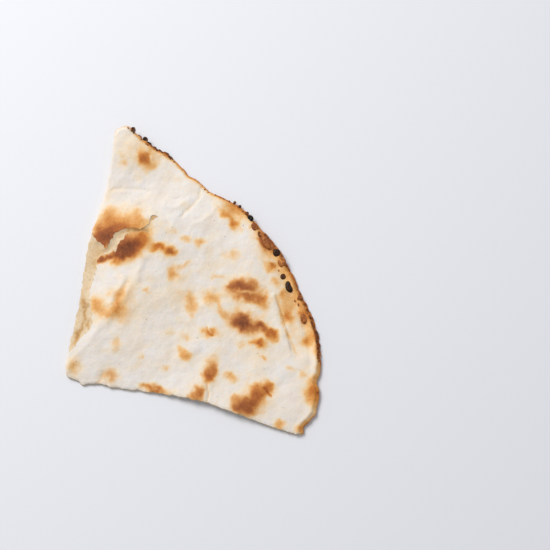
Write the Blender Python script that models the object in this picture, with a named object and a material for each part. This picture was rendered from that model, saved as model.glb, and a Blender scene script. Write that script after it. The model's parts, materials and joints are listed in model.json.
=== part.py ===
"""A quarter cut from a large, thin naan, baked on the wall of a clay oven.

The quarter lies flat with its baked side up. It is worked out in millimetres in the quarter's own plan:
the origin is the middle of the whole round naan, +X runs along the lower cut and +Y along the left cut.
The finished mesh is then moved so that the world origin is under the middle of the piece, on the table.
"""

import math

import bmesh
import bpy
import numpy as np
from mathutils import Vector, noise
from mathutils.geometry import delaunay_2d_cdt

MM = 0.001
NODE = "naan_quarter"

# Driving sizes, in millimetres
NAAN_RADIUS = 147.5
THICKNESS = 3.2
SKIN = 1.5  # the baked top layer, which has come away from the lower one at the tear
TABLE_SINK = 0.7  # how far the underside would pass through the table if the table didn't flatten it
PLAN_SPACING = 3.9
EDGE_SPACING = 3.4
EDGE_ROUNDING = 1.6
EDGE_DROP = 0.9
RAGGEDNESS = 0.7
RAGGED_LENGTH = 4.0

# How the plan is cut into triangles: shares of the spacing, and one clearance in millimetres
GRID_SHAKE = 0.12
CLEAR_OF_EDGE = 0.45
CLEAR_OF_POINTS = 0.55
CLEAR_OF_LINES = 1.0

# Where the round rim leaves a true circle: (bearing in degrees, half-width, change of radius)
RIM_SWELLS = (
    (2.6, 2.6, -6.8),
    (14, 1.2, -2.2),
    (24, 8, 3.0),
    (46, 7, 1.3),
    (59, 4, 1.2),
    (68.8, 4, -2.6),
    (75.5, 1.2, -1.0),
    (81.5, 3.8, 2.5),
    (91.5, 9, 11.0),
    (92.9, 2.3, 5.6),
)
RIM_FROM, RIM_TO = 1.6, 94.4

# The two knife cuts are nearly straight: (distance from the middle, half-width, change)
LOWER_CUT_BASE = 0.5
LOWER_CUT_SWELLS = ((70, 52, 7.0), (18, 4, 1.2), (83, 5, 0.6))
LEFT_CUT_BASE = -3.6
LEFT_CUT_LEAN = -0.046
LEFT_CUT_SWELLS = ((84, 26, -3.2), (120, 4, -0.6), (160, 26, -2.6))

# The blunt point where the cuts meet, from the left cut round to the lower one
POINT = ((-3.4, 8.0), (-2.2, 5.0), (-0.3, 3.5), (5.0, 3.1), (8.2, 0.8))
LEFT_CUT_FROM, LEFT_CUT_TO = 158.5, 12
LOWER_CUT_FROM, LOWER_CUT_TO = 12, 138

# The tear: its edge in the top layer, from the left cut near the point, up, round the cracked
# blister and back to the left cut. It closes outside the quarter.
TEAR = (
    (-6.0, 13.0), (-3.2, 17.7), (-0.9, 22.6), (2.3, 30.8), (5.2, 35.0), (3.2, 42.9),
    (-0.6, 50.5), (-1.8, 60.7), (-1.8, 70.0), (-3.1, 76.3), (2.3, 80.4), (7.6, 84.2),
    (8.6, 90.0), (13.0, 96.8), (21.9, 101.1), (25.5, 111.1), (20.4, 103.6), (16.5, 100.4),
    (9.6, 98.1), (3.2, 92.6), (0.1, 83.2), (-7.8, 88.8), (-16.0, 94.0), (-18.0, 50.0),
)  # fmt: skip
TEAR_EDGE = 0.7  # how far the top layer takes to rise from the tear to its full thickness
LOWER_LAYER_SHARE = 0.45  # how much of a blister the lower layer follows

# Rises and hollows of the whole sheet: (x, y, half-width, half-height, turn in degrees, rise)
SHEET_SWELLS = (
    (13, 46, 24, 44, -12, 4.6),
    (26, 92, 26, 34, -8, 3.0),
    (86, 0, 30, 20, 0, 3.6),
    (-12, 166, 22, 34, 10, 6.0),
    (88, 108, 30, 16, -42, 2.2),
    (140, 22, 16, 26, 10, 1.6),
    (52, 128, 16, 20, 20, 0.8),
    (14, 128, 26, 13, 0, -2.2),
    (6, 6, 18, 12, 0, -0.8),
    (62, 40, 20, 16, 0, 0.7),
)
WAVE_LENGTH = 26
WAVE_HEIGHT = 0.55

# Blisters that rose and toasted: (x, y, half-width, half-height, turn in degrees, rise)
BLISTERS = (
    (6, 97, 21, 15, 20, 3.4),
    (87, 81, 10, 6.5, 0, 1.1),
    (93, 59, 9, 7, -20, 1.2),
    (106, 59, 8, 4.5, -30, 0.9),
    (105, 50, 4, 4, 0, 0.7),
    (112, 24, 8, 7, 30, 1.1),
    (105, 13, 8, 8, 0, 1.1),
    (80, 27, 6, 9, 10, 1.0),
    (63, 31, 5, 7, -30, 0.7),
    (37, 92, 7, 6, 0, 0.9),
    (9, 146, 6, 6, 0, 1.1),
    (77, 13, 6, 8, -15, 0.8),
    (74, 49, 7, 4, 10, 0.6),
    (67, 120, 4, 9, 35, 0.7),
    (11, 49, 10, 6, -15, 0.9),
    (70, 70, 8, 8, 0, 0.5),
)

# Along part of the rim the top layer has sunk outside a small step
STRIP_RADIUS = 132.2
STRIP_STEP = 1.0
STRIP_DROP = 0.9
STRIP_BEARINGS = (19, 38)
STRIP_FADE = 5
RIM_BAND = 9
RIM_PUFF = 0.9

CRUST_COLOUR = (0.80, 0.68, 0.52, 1.0)
CRUST_ROUGHNESS = 0.75
SEED = 7
OTHER_SEED = 19


def swells(at, bumps):
    """The sum of smooth bumps along a line, each (centre, half-width, height)."""
    return sum(height * math.exp(-(((at - centre) / width) ** 2)) for centre, width, height in bumps)


def mounds(x, y, bumps):
    """The sum of smooth oval mounds in the plan, each (x, y, half-width, half-height, turn, rise)."""
    total = 0.0
    for centre_x, centre_y, half_x, half_y, turn, rise in bumps:
        cos_turn, sin_turn = math.cos(math.radians(turn)), math.sin(math.radians(turn))
        along = (x - centre_x) * cos_turn + (y - centre_y) * sin_turn
        across = (y - centre_y) * cos_turn - (x - centre_x) * sin_turn
        total += rise * math.exp(-((along / half_x) ** 2) - (across / half_y) ** 2)
    return total


def ease(low, high, value):
    """0 up to low, 1 from high on, and a smooth step between."""
    part = min(max((value - low) / (high - low), 0.0), 1.0)
    return part * part * (3.0 - 2.0 * part)


def steps(first, last, spacing):
    """Evenly spaced values from first to last, about spacing apart."""
    return np.linspace(first, last, max(2, round(abs(last - first) / spacing) + 1))


def rim_point(bearing):
    radius = NAAN_RADIUS + swells(bearing, RIM_SWELLS)
    return radius * math.cos(math.radians(bearing)), radius * math.sin(math.radians(bearing))


def left_cut_point(y):
    return LEFT_CUT_BASE + LEFT_CUT_LEAN * y + swells(y, LEFT_CUT_SWELLS), y


def lower_cut_point(x):
    return x, LOWER_CUT_BASE + swells(x, LOWER_CUT_SWELLS)


def outline():
    """The edge of the quarter, anticlockwise: lower cut, round rim, left cut, blunt point."""
    bearing_spacing = math.degrees(EDGE_SPACING / NAAN_RADIUS)
    points = [lower_cut_point(x) for x in steps(LOWER_CUT_FROM, LOWER_CUT_TO, EDGE_SPACING)]
    points += [rim_point(bearing) for bearing in steps(RIM_FROM, RIM_TO, bearing_spacing)]
    points += [left_cut_point(y) for y in steps(LEFT_CUT_FROM, LEFT_CUT_TO, EDGE_SPACING)]
    points += POINT
    shifts = [
        [noise.noise(Vector((x / RAGGED_LENGTH, y / RAGGED_LENGTH, seed))) for seed in (SEED, OTHER_SEED)]
        for x, y in points
    ]
    return np.array(points) + RAGGEDNESS * np.array(shifts)


def resampled(loop, spacing):
    """The corners of a closed loop with more points between them, about spacing apart."""
    points = []
    for start, end in zip(loop, np.roll(loop, -1, axis=0)):
        count = max(1, round(float(np.hypot(*(end - start))) / spacing))
        points += [start + (end - start) * step / count for step in range(count)]
    return np.array(points)


def is_inside(points, loop):
    """Which of the points lie inside the closed loop."""
    inside = np.zeros(len(points), bool)
    for (x1, y1), (x2, y2) in zip(loop, np.roll(loop, -1, axis=0)):
        if y1 == y2:
            continue
        crosses = (points[:, 1] < y1) != (points[:, 1] < y2)
        inside ^= crosses & (points[:, 0] < x1 + (points[:, 1] - y1) * (x2 - x1) / (y2 - y1))
    return inside


def distance_to(points, loop):
    """How far each point is from the closed loop."""
    nearest = np.full(len(points), np.inf)
    for start, end in zip(loop, np.roll(loop, -1, axis=0)):
        side = end - start
        along = np.clip(((points - start) @ side) / (side @ side), 0.0, 1.0)
        nearest = np.minimum(nearest, np.hypot(*(points - start - along[:, None] * side).T))
    return nearest


def offset(loop, distance):
    """The loop's points moved outwards, where the loop runs anticlockwise."""
    along = np.roll(loop, -1, axis=0) - np.roll(loop, 1, axis=0)
    along /= np.hypot(*along.T)[:, None]
    return loop + distance * np.column_stack([along[:, 1], -along[:, 0]])


def gaps(points, others):
    """How far each point is from the nearest of the others."""
    return np.min(np.hypot(*(points[:, None] - others[None]).transpose(2, 0, 1)), axis=1)


def plan_grid(edge, fixed):
    """A slightly shaken triangular grid inside the edge, clear of the points that are already fixed."""
    rows = []
    row_step = PLAN_SPACING * math.sqrt(3) / 2
    low, high = edge.min(axis=0), edge.max(axis=0)
    for row, y in enumerate(np.arange(low[1], high[1], row_step)):
        for x in np.arange(low[0] + PLAN_SPACING / 2 * (row % 2), high[0], PLAN_SPACING):
            rows.append((x, y))
    grid = np.array(rows)
    grid += np.random.default_rng(SEED).uniform(-GRID_SHAKE, GRID_SHAKE, grid.shape) * PLAN_SPACING
    grid = grid[is_inside(grid, edge)]
    grid = grid[distance_to(grid, edge) > EDGE_ROUNDING + CLEAR_OF_EDGE * PLAN_SPACING]
    return grid[gaps(grid, fixed) > CLEAR_OF_POINTS * PLAN_SPACING]


def plan_mesh(edge, tear):
    """The plan cut into triangles, with vertices along the edge, inside its rounding and along the tear."""
    inset = offset(edge, -EDGE_ROUNDING)
    tear_lines = np.vstack([tear, offset(tear, TEAR_EDGE)])
    clear = is_inside(tear_lines, edge) & (distance_to(tear_lines, edge) > CLEAR_OF_LINES)
    inset = inset[is_inside(inset, edge) & (distance_to(inset, edge) > CLEAR_OF_LINES)]
    inset = inset[gaps(inset, tear_lines) > CLEAR_OF_LINES]
    fixed = np.vstack([inset, tear_lines[clear]])
    points = np.vstack([edge, fixed, plan_grid(edge, fixed)])
    corners, _, faces, *_ = delaunay_2d_cdt(
        [Vector(point) for point in points], [], [list(range(len(edge)))], 1, 1e-4
    )
    return np.array([tuple(corner) for corner in corners]), faces


def table_lift(x, y):
    """How high the underside of the sheet hangs. Below 0 the table flattens it."""
    wave = noise.noise(Vector((x / WAVE_LENGTH, y / WAVE_LENGTH, SEED)))
    return mounds(x, y, SHEET_SWELLS) + WAVE_HEIGHT * wave - TABLE_SINK


def rim_relief(x, y, to_edge):
    """The puffed band along the round rim, and the stretch where the top layer has sunk."""
    radius, bearing = math.hypot(x, y), math.degrees(math.atan2(y, x))
    round_rim = ease(80, 110, radius)
    puff = RIM_PUFF * round_rim * math.exp(-(((to_edge - RIM_BAND / 2) / (RIM_BAND / 2)) ** 2))
    first, last = STRIP_BEARINGS
    along = ease(first, first + STRIP_FADE, bearing) * (1 - ease(last - STRIP_FADE, last, bearing))
    return puff - STRIP_DROP * along * ease(STRIP_RADIUS, STRIP_RADIUS + STRIP_STEP, radius)


def top_height(x, y, to_edge, from_tear):
    """The baked side. from_tear is the distance outside the tear, and 0 inside it."""
    in_skin = ease(0.0, TEAR_EDGE, from_tear)
    followed = LOWER_LAYER_SHARE + (1.0 - LOWER_LAYER_SHARE) * in_skin
    blisters = mounds(x, y, BLISTERS) * followed
    rounding = EDGE_DROP * (1.0 - ease(0.0, EDGE_ROUNDING, to_edge))
    height = table_lift(x, y) + THICKNESS + blisters + rim_relief(x, y, to_edge)
    return height - SKIN * (1.0 - in_skin) - rounding * in_skin


def naan_quarter():
    """One closed solid: the plan, extruded, with its underside on the table and its baked side in relief."""
    edge = outline()
    tear = resampled(np.array(TEAR), EDGE_SPACING)
    plan, faces = plan_mesh(edge, tear)
    to_edge = distance_to(plan, edge)
    from_tear = np.where(is_inside(plan, tear), 0.0, distance_to(plan, tear))
    middle = (edge.min(axis=0) + edge.max(axis=0)) / 2

    mesh = bmesh.new()
    under = [mesh.verts.new((x, y, max(0.0, table_lift(x, y)))) for x, y in plan]
    reliefs = zip(plan, to_edge, from_tear)
    top = [mesh.verts.new((x, y, top_height(x, y, *near))) for (x, y), *near in reliefs]
    for face in faces:
        mesh.faces.new([top[corner] for corner in face])
        mesh.faces.new([under[corner] for corner in reversed(face)])
    around = range(len(edge))
    for corner, following in zip(around, np.roll(around, -1)):
        mesh.faces.new([under[corner], under[following], top[following], top[corner]])
    bmesh.ops.recalc_face_normals(mesh, faces=mesh.faces)
    bmesh.ops.translate(mesh, verts=mesh.verts, vec=(-middle[0], -middle[1], 0.0))
    bmesh.ops.scale(mesh, verts=mesh.verts, vec=(MM, MM, MM))
    data = bpy.data.meshes.new(NODE)
    mesh.to_mesh(data)
    mesh.free()
    return bpy.data.objects.new(NODE, data)


def crust_material():
    material = bpy.data.materials.new("baked_crust")
    material.use_nodes = True
    shader = material.node_tree.nodes["Principled BSDF"]
    shader.inputs["Base Color"].default_value = CRUST_COLOUR
    shader.inputs["Roughness"].default_value = CRUST_ROUGHNESS
    shader.inputs["Metallic"].default_value = 0.0
    return material


def main():
    for item in list(bpy.data.objects):
        bpy.data.objects.remove(item)
    piece = naan_quarter()
    piece.data.materials.append(crust_material())
    piece.data.shade_smooth()
    bpy.context.collection.objects.link(piece)


main()
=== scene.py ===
# %% [markdown]
# # A quarter of clay-oven naan
# Naan is slapped on the hot wall of a clay oven. Steam splits the thin dough into two layers, bubbles
# rise and toast, and the rim, which has the least dough behind it, scorches first. This lesson builds
# one quarter of such a bread: a sheet with a real gap between its two layers where the top one has
# torn, its toasted spots, its scorched rim and the crumbs that come off it.
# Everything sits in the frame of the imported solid, which is loaded first and never changed.

import json
import math

import bpy
import numpy as np
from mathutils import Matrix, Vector, noise
from mathutils.geometry import delaunay_2d_cdt

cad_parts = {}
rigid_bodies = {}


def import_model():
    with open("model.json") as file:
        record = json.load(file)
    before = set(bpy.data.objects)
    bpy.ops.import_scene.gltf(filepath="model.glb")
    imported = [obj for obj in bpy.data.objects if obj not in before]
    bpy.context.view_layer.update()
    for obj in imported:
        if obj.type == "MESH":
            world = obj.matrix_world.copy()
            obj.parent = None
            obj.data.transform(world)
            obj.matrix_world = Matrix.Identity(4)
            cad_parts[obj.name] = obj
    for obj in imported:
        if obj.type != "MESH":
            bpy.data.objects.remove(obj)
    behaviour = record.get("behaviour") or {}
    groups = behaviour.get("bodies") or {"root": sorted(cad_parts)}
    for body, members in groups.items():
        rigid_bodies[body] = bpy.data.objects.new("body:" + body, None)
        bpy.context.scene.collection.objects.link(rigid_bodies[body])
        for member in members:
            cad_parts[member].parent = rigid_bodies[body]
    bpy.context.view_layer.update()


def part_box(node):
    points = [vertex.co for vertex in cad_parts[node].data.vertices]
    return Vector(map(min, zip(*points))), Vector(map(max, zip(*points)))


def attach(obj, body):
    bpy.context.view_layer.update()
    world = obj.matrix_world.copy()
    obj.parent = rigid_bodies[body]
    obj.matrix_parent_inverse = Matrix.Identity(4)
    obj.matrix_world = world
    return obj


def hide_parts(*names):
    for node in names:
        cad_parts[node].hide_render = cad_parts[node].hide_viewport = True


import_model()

# %% [markdown]
# ## Where the quarter was cut from
# A baker would measure this piece from the middle of the whole round bread: the rim is then a radius,
# and the knife cuts run out along X and Y. All sizes below are in millimetres in that plan. One
# function turns them to metres and moves them to the frame, so no other line has to think about it.

# %% The plan's own frame
MM = 0.001
MIDDLE_FROM_BOX = np.array([13.3, -0.7])  # the whole bread's middle, from the box's lowest corner
MIDDLE = np.array(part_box("naan_quarter")[0][:2]) + MIDDLE_FROM_BOX * MM


def to_frame(points):
    """Millimetres in the plan to metres in the frame."""
    places = np.array(points, float) * MM
    places[:, :2] += MIDDLE
    return places


print("the whole bread's middle in mm:", (MIDDLE / MM).round(1))

# %% [markdown]
# ## The camera
# The camera comes before the bread, because it settles how fine the detail has to be. It looks down
# steeply, as one looks at bread on a table, through a long lens that keeps the cuts straight.
# Detail down to about 0.6 mm is seen from there, so the mesh is about that fine and no finer.

# %% Camera
VIEW_AZIMUTH, VIEW_ELEVATION = 13.5, 74.0
VIEW_DISTANCE = 825.0
LENS = 90.0
CLIP_START = 0.01
LOOK_AT = (103.3, 92.3, 4.0)


def direction(azimuth, elevation):
    """The unit direction towards something at this azimuth and elevation, in degrees."""
    turn, rise = math.radians(azimuth), math.radians(elevation)
    return Vector((math.sin(turn) * math.cos(rise), -math.cos(turn) * math.cos(rise), math.sin(rise)))


look_at = Vector(to_frame([LOOK_AT])[0])
camera = bpy.data.objects.new("camera", bpy.data.cameras.new("camera"))
camera.data.lens = LENS
camera.data.clip_start = CLIP_START
camera.location = look_at + direction(VIEW_AZIMUTH, VIEW_ELEVATION) * VIEW_DISTANCE * MM
camera.rotation_euler = (math.radians(90 - VIEW_ELEVATION), 0.0, math.radians(VIEW_AZIMUTH))
bpy.context.scene.collection.objects.link(camera)
bpy.context.scene.camera = camera
print("camera at:", [round(value, 3) for value in camera.location])

# %% [markdown]
# ## Three small tools for shapes
# Dough has no straight sides and no exact circles. Nearly every shape here is a simple rule plus soft
# bumps, so the three tools are: bumps along a line, oval mounds over the plan, and smooth noise.
# They take whole arrays, because the bread has tens of thousands of points.

# %% Bumps, mounds and noise
SEED = 7


def swells(at, bumps):
    """The sum of smooth bumps along a line, each (centre, half-width, height)."""
    at = np.asarray(at, float)
    return sum(height * np.exp(-(((at - centre) / width) ** 2)) for centre, width, height in bumps)


def oval(x, y, centre_x, centre_y, half_x, half_y, turn):
    """How far out in an oval each point is: 0 in the middle, 1 on its outline."""
    cos_turn, sin_turn = math.cos(math.radians(turn)), math.sin(math.radians(turn))
    along = (x - centre_x) * cos_turn + (y - centre_y) * sin_turn
    across = (y - centre_y) * cos_turn - (x - centre_x) * sin_turn
    return np.hypot(along / half_x, across / half_y)


def mounds(x, y, bumps):
    """The sum of smooth oval mounds, each (x, y, half-width, half-height, turn in degrees, rise)."""
    return sum(rise * np.exp(-(oval(x, y, *place) ** 2)) for *place, rise in bumps)


def ripples(x, y, waves, seed=SEED):
    """Smooth noise in several sizes, each (length between lumps, height)."""
    total = np.zeros(len(x))
    for length, height in waves:
        level = seed + length
        total += height * np.array([noise.noise((u, v, level)) for u, v in zip(x / length, y / length)])
    return total


def ease(low, high, value):
    """0 up to low, 1 from high on, and a smooth step between."""
    part = np.clip((np.asarray(value, float) - low) / (high - low), 0.0, 1.0)
    return part * part * (3.0 - 2.0 * part)


print("half of a soft step:", float(ease(0, 1, 0.5)))

# %% [markdown]
# ## The outline
# The quarter has a knife cut below, a knife cut on its left and the baked rim between them. The cuts
# are nearly straight, and pull in a little because the sheet springs back as it is cut. The rim is an
# arc whose radius swells and dips, and at its upper end it was pulled out into a scorched tip.
# The edge is shaken finely at the end, since crisp bread breaks rather than slices.

# %% Outline of the quarter
NAAN_RADIUS = 147.0
RIM_SWELLS = (
    (2.6, 2.6, -6.8), (14, 1.2, -2.2), (24, 8, 3), (46, 7, 1.3), (59, 4, 1.2), (68.8, 4, -2.6),
    (75.5, 1.2, -1), (81.5, 3.8, 2.5), (91.5, 9, 11), (92.9, 2.3, 5.6),
)  # fmt: skip
RIM_FROM, RIM_TO = 1.6, 94.4
LOWER_CUT_BASE = 0.5
LOWER_CUT_SWELLS = ((70, 52, 7.0), (18, 4, 1.2), (83, 5, 0.6))
LOWER_CUT_FROM, LOWER_CUT_TO = 12, 138
LEFT_CUT_BASE = -3.6
LEFT_CUT_LEAN = -0.046
LEFT_CUT_SWELLS = ((84, 26, -3.2), (120, 4, -0.6), (160, 26, -2.6))
LEFT_CUT_FROM, LEFT_CUT_TO = 158.5, 12
POINT = [(-3.4, 8.0), (-2.2, 5.0), (-0.3, 3.5), (5.0, 3.1), (8.2, 0.8)]
CUT_STEP, RIM_STEP = 2, 0.5  # millimetres along a cut, degrees along the rim
EDGE_SPACING = 0.75
RAGGED_EDGE = ((4.0, 0.7), (1.6, 0.4))  # lump length and shift
OTHER_WAY = 30  # added to the seed for the second direction of a shift


def steps(first, last, spacing):
    """Evenly spaced values from first to last, about spacing apart."""
    return np.linspace(first, last, max(2, round(abs(last - first) / spacing) + 1))


def walked(points, spacing):
    """Points about spacing apart along the straight runs between the given ones."""
    points = np.array(points, float)
    far = np.concatenate([[0.0], np.cumsum(np.hypot(*np.diff(points, axis=0).T))])
    stops = steps(0.0, far[-1], spacing)
    return np.column_stack([np.interp(stops, far, points[:, axis]) for axis in (0, 1)])


def shaken(points, waves):
    """The points shifted both ways in the plan by noise."""
    x, y = points.T
    return points + np.column_stack([ripples(x, y, waves, seed) for seed in (SEED, SEED + OTHER_WAY)])


def rim_point(bearing):
    """The place on the rim at this bearing in degrees."""
    radius = NAAN_RADIUS + swells(bearing, RIM_SWELLS)
    return radius * math.cos(math.radians(bearing)), radius * math.sin(math.radians(bearing))


def outline():
    """The edge of the quarter, anticlockwise: lower cut, round rim, left cut, blunt point."""
    across = steps(LOWER_CUT_FROM, LOWER_CUT_TO, CUT_STEP)
    up = steps(LEFT_CUT_FROM, LEFT_CUT_TO, CUT_STEP)
    points = list(zip(across, LOWER_CUT_BASE + swells(across, LOWER_CUT_SWELLS)))
    points += [rim_point(bearing) for bearing in steps(RIM_FROM, RIM_TO, RIM_STEP)]
    points += zip(LEFT_CUT_BASE + LEFT_CUT_LEAN * up + swells(up, LEFT_CUT_SWELLS), up)
    points += POINT + points[:1]
    return shaken(walked(points, EDGE_SPACING)[:-1], RAGGED_EDGE)


edge = outline()
print("outline:", len(edge), "points")

# %% [markdown]
# ## The tear
# Along the left cut the top layer has come off and shows the pale layer below. The tear then runs
# into a big blister and splits it, so that one side of the crack overlaps the other. It is drawn as
# one line from the left cut, up, round the end of the crack, and back to the left cut.
# Torn baked dough is jagged at two scales: teeth of a few millimetres, and crumbs of half of one.

# %% Line of the tear
TEAR = (
    (-5.4, 15.6), (-3.2, 18.2), (-0.9, 22.6), (1.0, 26.7), (2.3, 30.6), (4.6, 33.0),
    (5.4, 37.1), (3.4, 42.9), (0.9, 48.2), (-1.5, 53.7), (-2.0, 60.7), (-1.6, 67.0),
    (-1.9, 72.1), (-3.3, 76.3), (-1.1, 78.2), (2.4, 80.6), (4.0, 80.2), (5.2, 83.2),
    (6.4, 82.6), (7.8, 84.8), (8.2, 89.2), (10.6, 94.3), (13.6, 96.9), (17.5, 98.2),
    (22.6, 99.8), (23.0, 103.6), (23.0, 107.0), (26.2, 111.4), (22.2, 110.6),
    (21.8, 107.0), (21.4, 102.8), (16.5, 100.4), (12.6, 99.7), (9.6, 98.6), (5.4, 95.9), (2.6, 91.5),
    (1.9, 87.2), (0.2, 83.4), (-3.2, 86.2), (-7.7, 89.0), (-10.4, 92.2),
)  # fmt: skip
BEYOND_THE_CUT = [(-20.0, 92.0), (-20.0, 15.0)]  # closes the tear outside the bread
TEAR_SPACING = 0.6
TEETH = ((3.2, 1.0), (1.3, 0.7))
QUIET_END = 3.0  # mm at each end where the teeth fade, so that the line still meets the cut


def nearest_edge_point(place):
    """The number of the outline's point nearest to this place."""
    return int(np.argmin(np.hypot(*(edge - place).T)))


def tear_line():
    """The tear from the left cut back to the left cut, its ends on the outline."""
    plain = walked(TEAR, TEAR_SPACING)
    order = np.arange(len(plain))
    from_end = np.minimum(order, order[::-1]) * TEAR_SPACING
    torn = plain + (shaken(plain, TEETH) - plain) * ease(0, QUIET_END, from_end)[:, None]
    for end in (0, -1):
        torn[end] = edge[nearest_edge_point(torn[end])]
    return torn


tear = tear_line()
mouth = np.vstack([tear, BEYOND_THE_CUT])
print("tear:", round(float(np.hypot(*np.diff(tear, axis=0).T).sum())), "mm long")

# %% [markdown]
# ## One plan for every layer
# The two layers, their undersides and the torn edge all share one plan, cut into triangles of about
# 0.75 mm. A constrained Delaunay triangulation keeps the outline and the tear as exact edges, which a
# regular grid could not do. Sharing the plan means that the layers meet point for point where they
# are still joined, so the bread stays one closed skin.

# %% Triangulate the plan
PLAN_SPACING = 0.76
GRID_SHAKE = 0.16
CLEAR_OF_LINES = 0.5
ONLY_INSIDE, WELD = 1, 1e-5  # keep what the outline encloses, and join points this close
TINY = 1e-9  # keeps a division from dividing by nothing


def is_inside(points, loop):
    """Which of the points lie inside the closed loop."""
    inside = np.zeros(len(points), bool)
    for (x1, y1), (x2, y2) in zip(loop, np.roll(loop, -1, axis=0)):
        if y1 != y2:
            crosses = (points[:, 1] < y1) != (points[:, 1] < y2)
            inside ^= crosses & (points[:, 0] < x1 + (points[:, 1] - y1) * (x2 - x1) / (y2 - y1))
    return inside


def distance_to(points, path):
    """How far each point is from an open path."""
    nearest = np.full(len(points), np.inf)
    path = np.asarray(path, float)
    for start, end in zip(path[:-1], path[1:]):
        side = end - start
        along = np.clip(((points - start) @ side) / max(side @ side, TINY), 0.0, 1.0)
        nearest = np.minimum(nearest, np.hypot(*(points - start - along[:, None] * side).T))
    return nearest


def plan_grid():
    """A slightly shaken triangular grid inside the outline, clear of it and of the tear."""
    low, high = edge.min(axis=0), edge.max(axis=0)
    rows = np.arange(low[1], high[1], PLAN_SPACING * math.sqrt(3) / 2)
    columns = np.arange(low[0], high[0], PLAN_SPACING)
    x = columns[None] + PLAN_SPACING / 2 * (np.arange(len(rows)) % 2)[:, None]
    grid = np.column_stack([x.ravel(), np.repeat(rows, len(columns))])
    grid += np.random.default_rng(SEED).uniform(-1, 1, grid.shape) * GRID_SHAKE * PLAN_SPACING
    grid = grid[is_inside(grid, edge)]
    near = np.minimum(distance_to(grid, closed_edge), distance_to(grid, tear))
    return grid[near > CLEAR_OF_LINES * PLAN_SPACING]


def plan_mesh():
    """The plan's points and triangles, anticlockwise."""
    points = np.vstack([edge, tear[1:-1], plan_grid()])
    first, last = nearest_edge_point(tear[0]), nearest_edge_point(tear[-1])
    line = [first, *range(len(edge), len(edge) + len(tear) - 2), last]
    corners, _, faces, *_ = delaunay_2d_cdt(
        [Vector(point) for point in points],
        list(zip(line[:-1], line[1:])),
        [list(range(len(edge)))],
        ONLY_INSIDE,
        WELD,
        False,
    )
    corners, faces = np.array([tuple(corner) for corner in corners]), np.array(faces)
    return corners, faces[is_inside(corners[faces].mean(axis=1), edge)]


closed_edge = np.vstack([edge, edge[:1]])
plan, triangles = plan_mesh()
X, Y = plan.T
to_edge = distance_to(plan, closed_edge)
to_tear = distance_to(plan, tear)
print("plan:", len(plan), "points and", len(triangles), "triangles")

# %% [markdown]
# ## How the sheet lies and how thick it is
# The bread doesn't lie flat: baking curls it, so it touches the table in a few patches and hangs
# clear between them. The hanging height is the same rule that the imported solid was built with. On top
# of it come the two layers, the blisters that steam raised, the puffed rim and ripples of dough.

# %% Hanging height, blisters and rim
TABLE_SINK = 0.7
SHEET_SWELLS = (
    (13, 46, 24, 44, -12, 4.6), (26, 92, 26, 34, -8, 3), (86, 0, 30, 20, 0, 3.6),
    (-12, 166, 22, 34, 10, 6), (88, 108, 30, 16, -42, 2.2), (140, 22, 16, 26, 10, 1.6),
    (52, 128, 16, 20, 20, 0.8), (14, 128, 26, 13, 0, -2.2), (6, 6, 18, 12, 0, -0.8),
    (62, 40, 20, 16, 0, 0.7),
)  # fmt: skip
SHEET_WAVE_LENGTH = 26
SHEET_WAVE_HEIGHT = 0.55
BLISTERS = (
    (6, 97, 21, 15, 20, 3.4), (87, 81, 10, 6.5, 0, 1.1), (93, 59, 9, 7, -20, 1.2),
    (106, 59, 8, 4.5, -30, 0.9), (105, 50, 4, 4, 0, 0.7), (112, 24, 8, 7, 30, 1.1),
    (105, 13, 8, 8, 0, 1.1), (80, 27, 6, 9, 10, 1), (63, 31, 5, 7, -30, 0.7), (37, 92, 7, 6, 0, 0.9),
    (9, 146, 6, 6, 0, 1.1), (77, 13, 6, 8, -15, 0.8), (74, 49, 7, 4, 10, 0.6), (67, 120, 4, 9, 35, 0.7),
    (11, 49, 10, 6, -15, 0.9), (70, 70, 8, 8, 0, 0.5),
)  # fmt: skip
STRIP_RADIUS = 132.2
STRIP_STEP = 0.8
STRIP_DROP = 0.9
STRIP_BEARINGS = (19, 38)
STRIP_FADE = 5
RIM_WIDTH = (7.0, 15.0)  # the rim's own shape fades out between these distances from it
LIP_BEGINS, LIP_ENDS = (13, 22), (56, 66)  # bearings between which the rolled lip rises and fades
LIP_ELSEWHERE = 0.15
RIM_LIP = ((2.0, 1.7, 0.85), (5.6, 2.0, -0.65))  # from the rim: a rolled lip, then a shallow valley
LIP_UNEVEN = ((9.0, 0.9),)

radius, bearing = np.hypot(X, Y), np.degrees(np.arctan2(Y, X))
to_rim = np.maximum(NAAN_RADIUS + swells(bearing, RIM_SWELLS) - radius, 0.0)
at_rim = 1 - ease(*RIM_WIDTH, to_rim)


def strip_along():
    """1 along the stretch of rim where the top layer has sunk, and 0 elsewhere."""
    first, last = STRIP_BEARINGS
    begun = ease(first, first + STRIP_FADE, bearing)
    return begun * (1 - ease(last - STRIP_FADE, last, bearing))


wave = [noise.noise((x, y, SEED)) for x, y in plan / SHEET_WAVE_LENGTH]
lift = mounds(X, Y, SHEET_SWELLS) + SHEET_WAVE_HEIGHT * np.array(wave) - TABLE_SINK
blister = mounds(X, Y, BLISTERS)
rolled = ease(*LIP_BEGINS, bearing) * (1 - ease(*LIP_ENDS, bearing))
puff = at_rim * swells(to_rim, RIM_LIP) * (1 + ripples(X, Y, LIP_UNEVEN, seed=70))
puff *= LIP_ELSEWHERE + (1 - LIP_ELSEWHERE) * rolled
strip = STRIP_DROP * strip_along() * ease(STRIP_RADIUS, STRIP_RADIUS + STRIP_STEP, radius)
print("hangs up to", round(float(lift.max()), 1), "mm above the table")
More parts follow.
